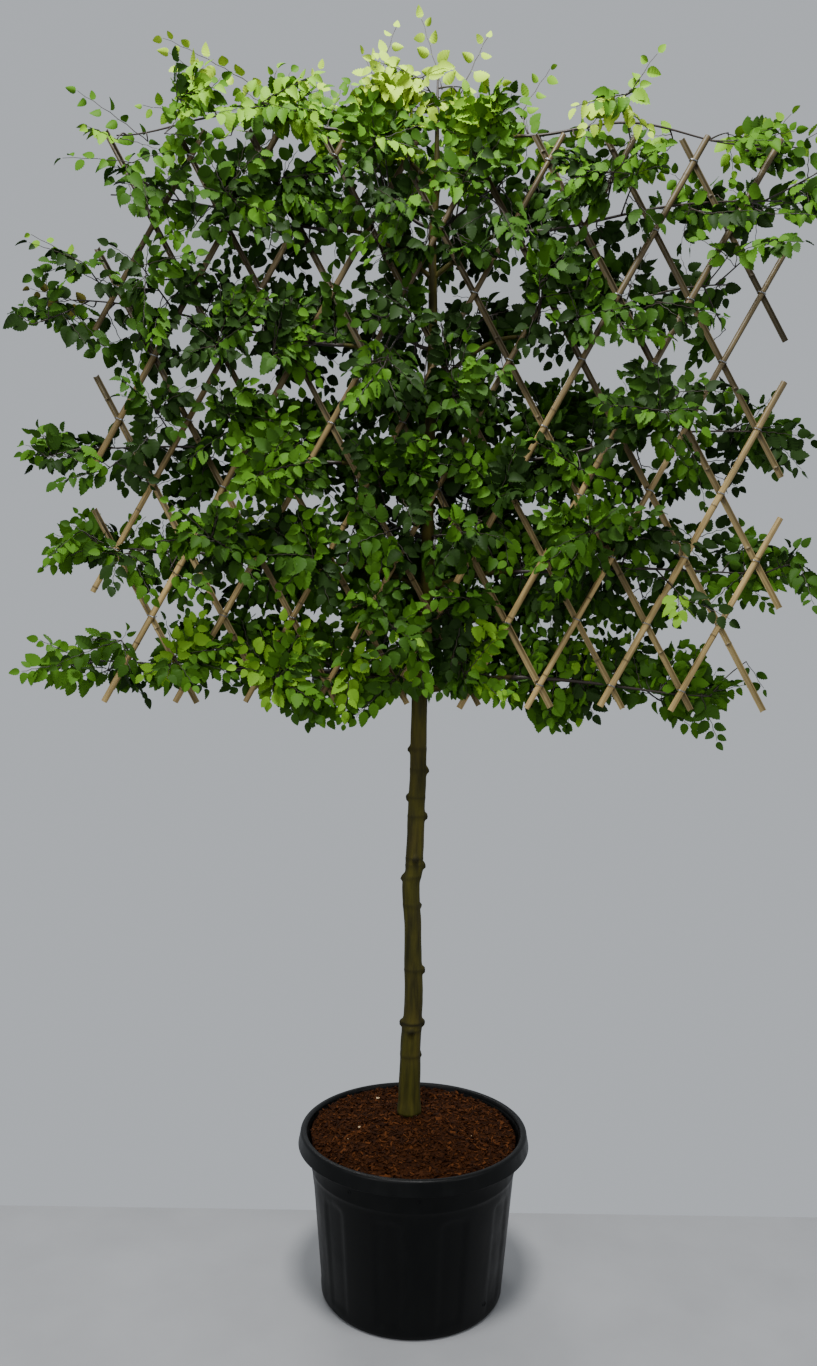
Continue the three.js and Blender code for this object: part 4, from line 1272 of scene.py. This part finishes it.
class HORNBEAM_OT_lattice(bpy.types.Operator):
    """Model the lattice's split canes, each a half tube with nodes and cross walls"""

    bl_idname = "hornbeam.lattice"
    bl_label = "Model lattice"

    def execute(self, context):
        lean = math.atan(1 / LATTICE.steepness)
        front = bamboo_material("split_bamboo_front", tuple(colours().cane_front), -lean)
        back = bamboo_material("split_bamboo_back", tuple(colours().cane_back), lean)
        random = np.random.default_rng(CANE.seed)
        for name in sorted(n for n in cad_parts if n.startswith("cane_")):
            rising = name.startswith("cane_front")
            mesh = self.cane(name, 1 if rising else -1, random.random())
            link_piece(f"{name}_bamboo", mesh, [front if rising else back], [name])
        return {"FINISHED"}

    def cane(self, name, lean, first_node):
        """A cane between the ends that its box gives. It lies flat side to flat side."""
        low, high = (np.array(corner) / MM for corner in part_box(name))
        slope = math.atan(LATTICE.steepness)
        c, s = math.cos(slope), math.sin(slope)
        wide, tall = high[X] - low[X], high[Z] - low[Z]
        length = (tall * s - wide * c) / (s * s - c * c)
        width = (wide * s - tall * c) / (s * s - c * c) * CANE.drawn
        middle = (low + high) / 2
        along = np.array([lean * c, 0, s])
        across = np.array([s, 0, -lean * c])
        flat, outward = (high[Y], -1) if lean > 0 else (low[Y], 1)
        stations = self.stations(length, first_node)
        arc = CANE.arc_steps

        def to_node(at):
            return min((abs(at - n) for n, is_node in stations if is_node), default=CANE.no_node)

        def place(u, v):
            at = stations[round(u * (len(stations) - 1))][0]
            ridge = CANE.ridge * bell(to_node(at) / CANE.ridge_reach)
            point = round(v * 2 * (arc + 1)) % (2 * (arc + 1))
            outer = point <= arc
            turn = math.pi * (point if outer else 2 * arc + 1 - point) / arc
            hollow = 0 if outer else CANE.wall
            out = (width / 2 - hollow) * math.cos(turn) * (1 + ridge * outer)
            depth = LATTICE.thickness * math.sin(turn) * (1 + ridge * outer) * CANE.deep
            if not outer:
                shut = bell(to_node(at) / CANE.shut_reach)
                depth = max(0, depth - CANE.wall) * (1 - shut) + CANE.least_bow * math.sin(turn)
            made = middle + along * (at - length / 2) + across * out
            made[Y] = flat + outward * depth
            return made

        bm = wrapped(len(stations) - 1, 2 * (arc + 1), place)
        marks = bm.verts.layers.float.new("node")
        for vert in bm.verts:
            at = np.dot(np.array(vert.co) - middle, along) + length / 2
            vert[marks] = CANE.mark * bell(to_node(at) / CANE.mark_reach)
        return finished_mesh(f"{name}_bamboo", bm, CANE.sharp_degrees)

    def stations(self, length, first_node):
        """Where a cane's rings lie along it, close together at each node, and which are nodes."""
        spacing = sizes().cane_node_spacing / MM
        nodes = np.arange(first_node * spacing, length - CANE.last_node, spacing)
        places = {0: False, length: False}
        for at in np.arange(CANE.first_ring, length - CANE.last_ring, CANE.ring_spacing):
            if np.min(np.abs(nodes - at), initial=CANE.no_node) > CANE.ring_off_node:
                places[float(at)] = False
        for node in nodes:
            for step in CANE.node_rings:
                if 0 < node + step < length:
                    places[float(node + step)] = step == 0
        return sorted(places.items())


def squared(wave):
    """A wave between -1 and 1 with its rounds pressed towards a square's sides."""
    return np.sign(wave) * np.abs(wave) ** TIE.squareness


class HORNBEAM_OT_wires(bpy.types.Operator):
    """Bind the canes with wire where they cross"""

    bl_idname = "hornbeam.wires"
    bl_label = "Bind canes"

    def execute(self, context):
        canes = [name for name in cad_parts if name.startswith("cane_")]
        spans = {name: [np.array(corner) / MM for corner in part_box(name)] for name in canes}
        parts = []
        for front in (name for name in canes if name.startswith("cane_front")):
            for back in (name for name in canes if name.startswith("cane_back")):
                ends = (spans[front], spans[back])
                a, b = (sum(span) / 2 for span in ends)
                x = ((b[Z] - a[Z]) / LATTICE.steepness + a[X] + b[X]) / 2
                z = a[Z] + (x - a[X]) * LATTICE.steepness
                if all(low[Z] + TIE.inset < z < high[Z] - TIE.inset for low, high in ends):
                    parts += self.tie(x, z, len(parts))
        link_piece("lattice_wires", joined_mesh("lattice_wires", parts), [wire_material()])
        return {"FINISHED"}

    def tie(self, x, z, number):
        """Two turns of wire round both canes, and its twisted tail at the back."""
        radius = sizes().wire / MM / 2
        turns = np.linspace(0, 2 * FULL_TURN, TIE.loop_points)
        middle = BACK_FLAT - LATTICE.clear / 2
        lean = TIE.lean if number % 2 else -TIE.lean
        out, deep = squared(np.cos(turns)), squared(np.sin(turns))
        height = z + lean * out * TIE.half_width + turns * TIE.rise
        loop = np.stack([x + TIE.half_width * out, middle + TIE.half_depth * deep, height], 1)
        twist = np.linspace(0, 1, TIE.tail_points)
        across = x + TIE.half_width + TIE.twist * np.cos(twist * TIE.twist_turn)
        height = z + TIE.twist * np.sin(twist * TIE.twist_turn) + twist * TIE.tail_rise
        tail = np.stack([across, middle + TIE.tail_start + twist * TIE.tail, height], 1)
        return [
            tube_part(loop, np.full(len(loop), radius), TIE.sides),
            tube_part(tail, np.full(len(tail), radius * TIE.tail_thicker), TIE.sides),
        ]


def pot_outside(z):
    """The radius of the pot's outside at a height."""
    return lerp(POT.base_radius, POT.neck_radius, z / POT.neck_height)


class HORNBEAM_OT_pot(bpy.types.Operator):
    """Spin the pot's wall and lip, and press its panels into it"""

    bl_idname = "hornbeam.pot"
    bl_label = "Model pot"

    def execute(self, context):
        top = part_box("pot")[1]
        bm = spun(self.outline(top[X] / MM, top[Z] / MM), POT.segments)
        for vert in bm.verts:
            self.sink(vert)
        for boss in BOSSES:
            self.add_boss(bm, *boss)
        mesh = finished_mesh("pot_shell", bm, POT.sharp_degrees)
        link_piece("pot_shell", mesh, [pot_material()], ["pot"])
        return {"FINISHED"}

    def outline(self, lip, height):
        """Radius and height from the underside's middle, round the lip, to the floor inside."""
        foot, mouth = POT.foot_radius, POT.mouth_radius
        lip_foot, neck = POT.lip_foot, POT.neck_height
        rows = [(0, 4), (foot - 22, 4), (foot - 16, 0), (foot - 3, 0), (foot + 1, 1.5)]
        rows += [(pot_outside(z), z) for z in (9, *np.linspace(16, 350, 42))]
        rows += [(pot_outside(353) + 1.8, 354), (pot_outside(358) + 2.2, 358)]
        rows += [(pot_outside(362) + 0.6, 362), (pot_outside(neck), neck)]
        rows += [(mouth - 5, height - 12), (mouth - 2, height - 9), (lip - 12, height - 15)]
        rows += [(lip - 7, lip_foot + 12), (lip - 5, lip_foot + 1.2), (lip - 3.8, lip_foot)]
        rows += [(lip - 1.2, lip_foot), (lip, lip_foot + 1.2), (lip - 1.2, lip_foot + 8)]
        rows += [(lip - 4.5, height - 15)]
        for turn in np.linspace(0.1, 1.0, 8) * math.pi / 2:
            rows.append((lip - 13.5 + 8 * math.cos(turn), height - 8 + 8 * math.sin(turn)))
        rows += [(mouth + 4, height), (mouth + 1, height - 1), (mouth - 1.5, height - 3.5)]
        rows += [(mouth - 3, height - 8)]
        rows += [(pot_outside(z) - POT.wall, z) for z in (neck, 8)]
        return rows + [(0, POT.floor)]

    def sink(self, vert):
        """Sinks a point of every other panel, with soft sides and an arched top."""
        radius = math.hypot(vert.co.x, vert.co.y)
        outside = radius > pot_outside(vert.co.z) - POT.wall / 2
        if not outside or radius < POT.foot_radius or vert.co.z > POT.panel_top + POT.top_ramp:
            return
        pair = 2 * FULL_TURN / POT.panels
        turn = (math.atan2(vert.co.y, vert.co.x) - pair / 8 + pair / 2) % pair - pair / 2
        across = abs(turn) / (pair / 4)
        side = 1 - smooth(POT.panel_flat, 1, across)
        arch_top = POT.panel_top - POT.panel_arch * across**2
        ends = smooth(POT.panel_foot - POT.foot_ramp, POT.panel_foot + POT.foot_ramp, vert.co.z)
        ends *= 1 - smooth(arch_top - POT.top_ramp, arch_top, vert.co.z)
        sunk = 1 - POT.panel_depth * side * ends / radius
        vert.co.x *= sunk
        vert.co.y *= sunk

    def add_boss(self, bm, degrees, z, radius):
        """A small round boss with a sunk middle."""
        turn = math.radians(degrees)
        out = Vector((math.cos(turn), math.sin(turn), 0))
        place = Matrix.Translation(out * (pot_outside(z) - BOSS.set_in) + Vector((0, 0, z)))
        tilt = out.to_track_quat("Z", "Y").to_matrix().to_4x4()
        ring = bmesh.ops.create_cone(
            bm, cap_ends=True, segments=BOSS.segments, radius1=radius, radius2=radius * BOSS.top,
            depth=BOSS.height, matrix=place @ tilt,
        )
        faces = {face for vert in ring["verts"] for face in vert.link_faces}
        top = max(faces, key=lambda face: face.calc_center_median().dot(out))
        bmesh.ops.inset_region(bm, faces=[top], thickness=radius * BOSS.rim, depth=0)
        bmesh.ops.inset_region(bm, faces=[top], thickness=BOSS.hole_slope, depth=-BOSS.hole_depth)


def mulch_height(x, y):
    """The height of the lumpy mulch at a place. It lies higher at the back left."""
    radius = math.hypot(x, y)
    radii, heights = zip(*reversed(MULCH_SIDE))
    lumps = noise.fractal(Vector((x, y, 0)) / MULCH.lump_size, *MULCH.fractal) * MULCH.lump
    back_left = (y - MULCH.tilt_left * x) / MULCH.rim
    tilt = MULCH.tilt * smooth(MULCH.tilt_from, MULCH.rim, radius) * back_left
    return float(np.interp(radius, radii, heights)) + lumps + tilt - MULCH.lower


class HORNBEAM_OT_mulch(bpy.types.Operator):
    """Heap bark mulch in the pot and strew chips over it"""

    bl_idname = "hornbeam.mulch"
    bl_label = "Heap mulch"

    def execute(self, context):
        self.add_bed()
        self.add_chips()
        return {"FINISHED"}

    def add_bed(self):
        """The root ball in the pot, with a rough top."""

        def inside(z):
            return pot_outside(z) - POT.wall - MULCH.clear

        foot = POT.floor + MULCH.clear / 2
        outline = [(0, foot), (inside(8) - 2, foot)]
        outline += [(inside(z), z) for z in (60, 200, 330, POT.neck_height)]
        radii = np.linspace(POT.neck_radius - 1, 0, MULCH.rings)
        outline += [(radius, MULCH.brim) for radius in radii]
        bm = spun(outline, MULCH.segments)
        for vert in bm.verts:
            if vert.co.z > POT.neck_height + 5:
                vert.co.z = mulch_height(vert.co.x, vert.co.y)
        base = shade(tuple(colours().mulch), MULCH.bed_shade)
        bed = mulch_material("composted_bark_bed", base)
        link_piece("mulch_bed", finished_mesh("mulch_bed", bm), [bed], ["root_ball"])

    def add_chips(self):
        """Loose chips of bark, mostly flat."""
        random = np.random.default_rng(CHIPS.seed)
        count = sizes().chip_count
        radius = np.sqrt(random.random(count)) * (POT.neck_radius - 2)
        turn = random.random(count) * FULL_TURN
        x, y = radius * np.cos(turn), radius * np.sin(turn)
        foot, _, trunk = TRUNK_STATIONS[0]
        centre = trunk_centre(foot)
        free = np.hypot(x - centre[X], y - centre[Y]) > trunk + 1
        x, y = x[free], y[free]
        count = len(x)
        z = np.array([mulch_height(*at) for at in zip(x, y)])
        scale = lerp(CHIPS.smallest, 1, random.random(count) ** CHIPS.few_large)
        size = sizes().chip_length / MM * scale
        frames = np.empty((count, 3, 3))
        for i in range(count):
            tip, roll = random.normal(0, CHIPS.tilt), random.normal(0, CHIPS.tilt)
            turned = np.array(Euler((tip, roll, random.random() * CHIPS.turn)).to_matrix())
            pairs = (CHIPS.width, CHIPS.thickness)
            slim = [1] + [least + more * random.random() for least, more in pairs]
            frames[i] = turned * (size[i] * np.array(slim))
        least, more = CHIPS.above
        places = np.stack([x, y, z + least + random.random(count) * more], 1)
        tints = random.choice(len(CHIPS.shares), count, p=CHIPS.shares)
        parts = []
        for tint in range(len(CHIPS.shares)):
            for kind, shape in enumerate(self.chip_shapes()):
                chosen = (tints == tint) & (np.arange(count) % 3 == kind)
                corners, triangles = stamped(shape, frames[chosen], places[chosen])
                parts.append((corners.reshape(-1, 3), triangles, tint))
        mesh = joined_mesh("mulch_chips", parts)
        mesh.set_sharp_from_angle(angle=math.radians(CHIPS.sharp_degrees))
        link_piece("mulch_chips", mesh, chip_materials(), ["root_ball"])

    def chip_shapes(self):
        """Three uneven splinters of unit length."""
        random = np.random.default_rng(CHIPS.shape_seed)
        ends = (-0.5, 0.5)
        corners = np.array([(a, b, c) for a in ends for b in ends for c in ends])
        sides = ((0, 1, 3, 2), (4, 6, 7, 5), (0, 4, 5, 1), (2, 3, 7, 6), (0, 2, 6, 4), (1, 5, 7, 3))
        triangles = np.array([t for a, b, c, d in sides for t in ((a, b, c), (a, c, d))])
        taper = np.where(corners[:, :1] > 0, CHIPS.taper, 1)
        bent = corners * np.concatenate([np.ones((8, 1)), taper, taper], 1)
        spread = (0, CHIPS.uneven, corners.shape)
        return [(bent + random.normal(*spread), triangles) for _ in range(3)]


class HORNBEAM_OT_stage(bpy.types.Operator):
    """Set the pale floor, the soft studio light and the camera"""

    bl_idname = "hornbeam.stage"
    bl_label = "Set stage"

    def execute(self, context):
        self.add_floor(context)
        for light in LIGHTS:
            self.add_light(context, *light)
        world = bpy.data.worlds.new("studio")
        world.use_nodes = True
        background = world.node_tree.nodes["Background"]
        background.inputs["Color"].default_value = (*linear(SKY.colour), 1)
        background.inputs["Strength"].default_value = SKY.strength
        context.scene.world = world
        self.add_camera(context)
        return {"FINISHED"}

    def add_floor(self, context):
        """A floor that reaches from behind the plant to the camera."""
        bm = bmesh.new()
        bmesh.ops.create_grid(bm, x_segments=1, y_segments=1, size=1)
        bmesh.ops.scale(bm, vec=(FLOOR.half_width, FLOOR.half_depth, 1), verts=bm.verts)
        bmesh.ops.translate(bm, vec=(0, FLOOR.middle, 0), verts=bm.verts)
        mesh = finished_mesh("floor", bm)
        mesh.materials.append(floor_material())
        floor = bpy.data.objects.new("floor", mesh)
        context.scene.collection.objects.link(floor)

    def add_light(self, context, name, place, target, width, watts):
        """A square soft box that faces its target."""
        data = bpy.data.lights.new(name, "AREA")
        data.size = width
        data.energy = watts
        light = bpy.data.objects.new(name, data)
        light.location = place
        light.rotation_euler = (Vector(target) - Vector(place)).to_track_quat("-Z", "Y").to_euler()
        context.scene.collection.objects.link(light)

    def add_camera(self, context):
        """A wide lens 3 m in front of the plant, at half its height."""
        data = bpy.data.cameras.new("camera")
        data.lens = CAMERA.lens
        data.sensor_width = CAMERA.sensor
        camera = bpy.data.objects.new("camera", data)
        tip, roll = math.radians(90 - CAMERA.tip_down), math.radians(CAMERA.roll)
        turned = Matrix.Rotation(tip, 4, "X") @ Matrix.Rotation(roll, 4, "Z")
        camera.matrix_world = Matrix.Translation(CAMERA.place) @ turned
        context.scene.collection.objects.link(camera)
        context.scene.camera = camera


OPERATORS = (
    HORNBEAM_OT_stage,
    HORNBEAM_OT_pot,
    HORNBEAM_OT_mulch,
    HORNBEAM_OT_trunk,
    HORNBEAM_OT_boughs,
    HORNBEAM_OT_lattice,
    HORNBEAM_OT_wires,
    HORNBEAM_OT_foliage,
)


class HORNBEAM_PT_panel(bpy.types.Panel):
    """Lists the sizes, the colours and the steps that make the plant"""

    bl_idname = "HORNBEAM_PT_panel"
    bl_label = "Espaliered Hornbeam"
    bl_space_type = "VIEW_3D"
    bl_region_type = "UI"
    bl_category = "Hornbeam"

    def draw(self, context):
        for group in (sizes(), colours()):
            box = self.layout.box()
            for name in group.__annotations__:
                box.prop(group, name)
        for operator in OPERATORS:
            self.layout.operator(operator.bl_idname)


CLASSES = (HornbeamSizes, HornbeamColours, *OPERATORS, HORNBEAM_PT_panel)


def register():
    """Registers the classes, and the sizes and colours that a scene holds."""
    for cls in CLASSES:
        bpy.utils.register_class(cls)
    bpy.types.Scene.hornbeam_sizes = PointerProperty(type=HornbeamSizes)
    bpy.types.Scene.hornbeam_colours = PointerProperty(type=HornbeamColours)


def unregister():
    """Undoes what register did."""
    del bpy.types.Scene.hornbeam_colours
    del bpy.types.Scene.hornbeam_sizes
    for cls in reversed(CLASSES):
        bpy.utils.unregister_class(cls)


def main():
    """Makes the stage and the plant."""
    register()
    for operator in OPERATORS:
        group, name = operator.bl_idname.split(".")
        getattr(getattr(bpy.ops, group), name)()


if __name__ == "__main__":
    main()
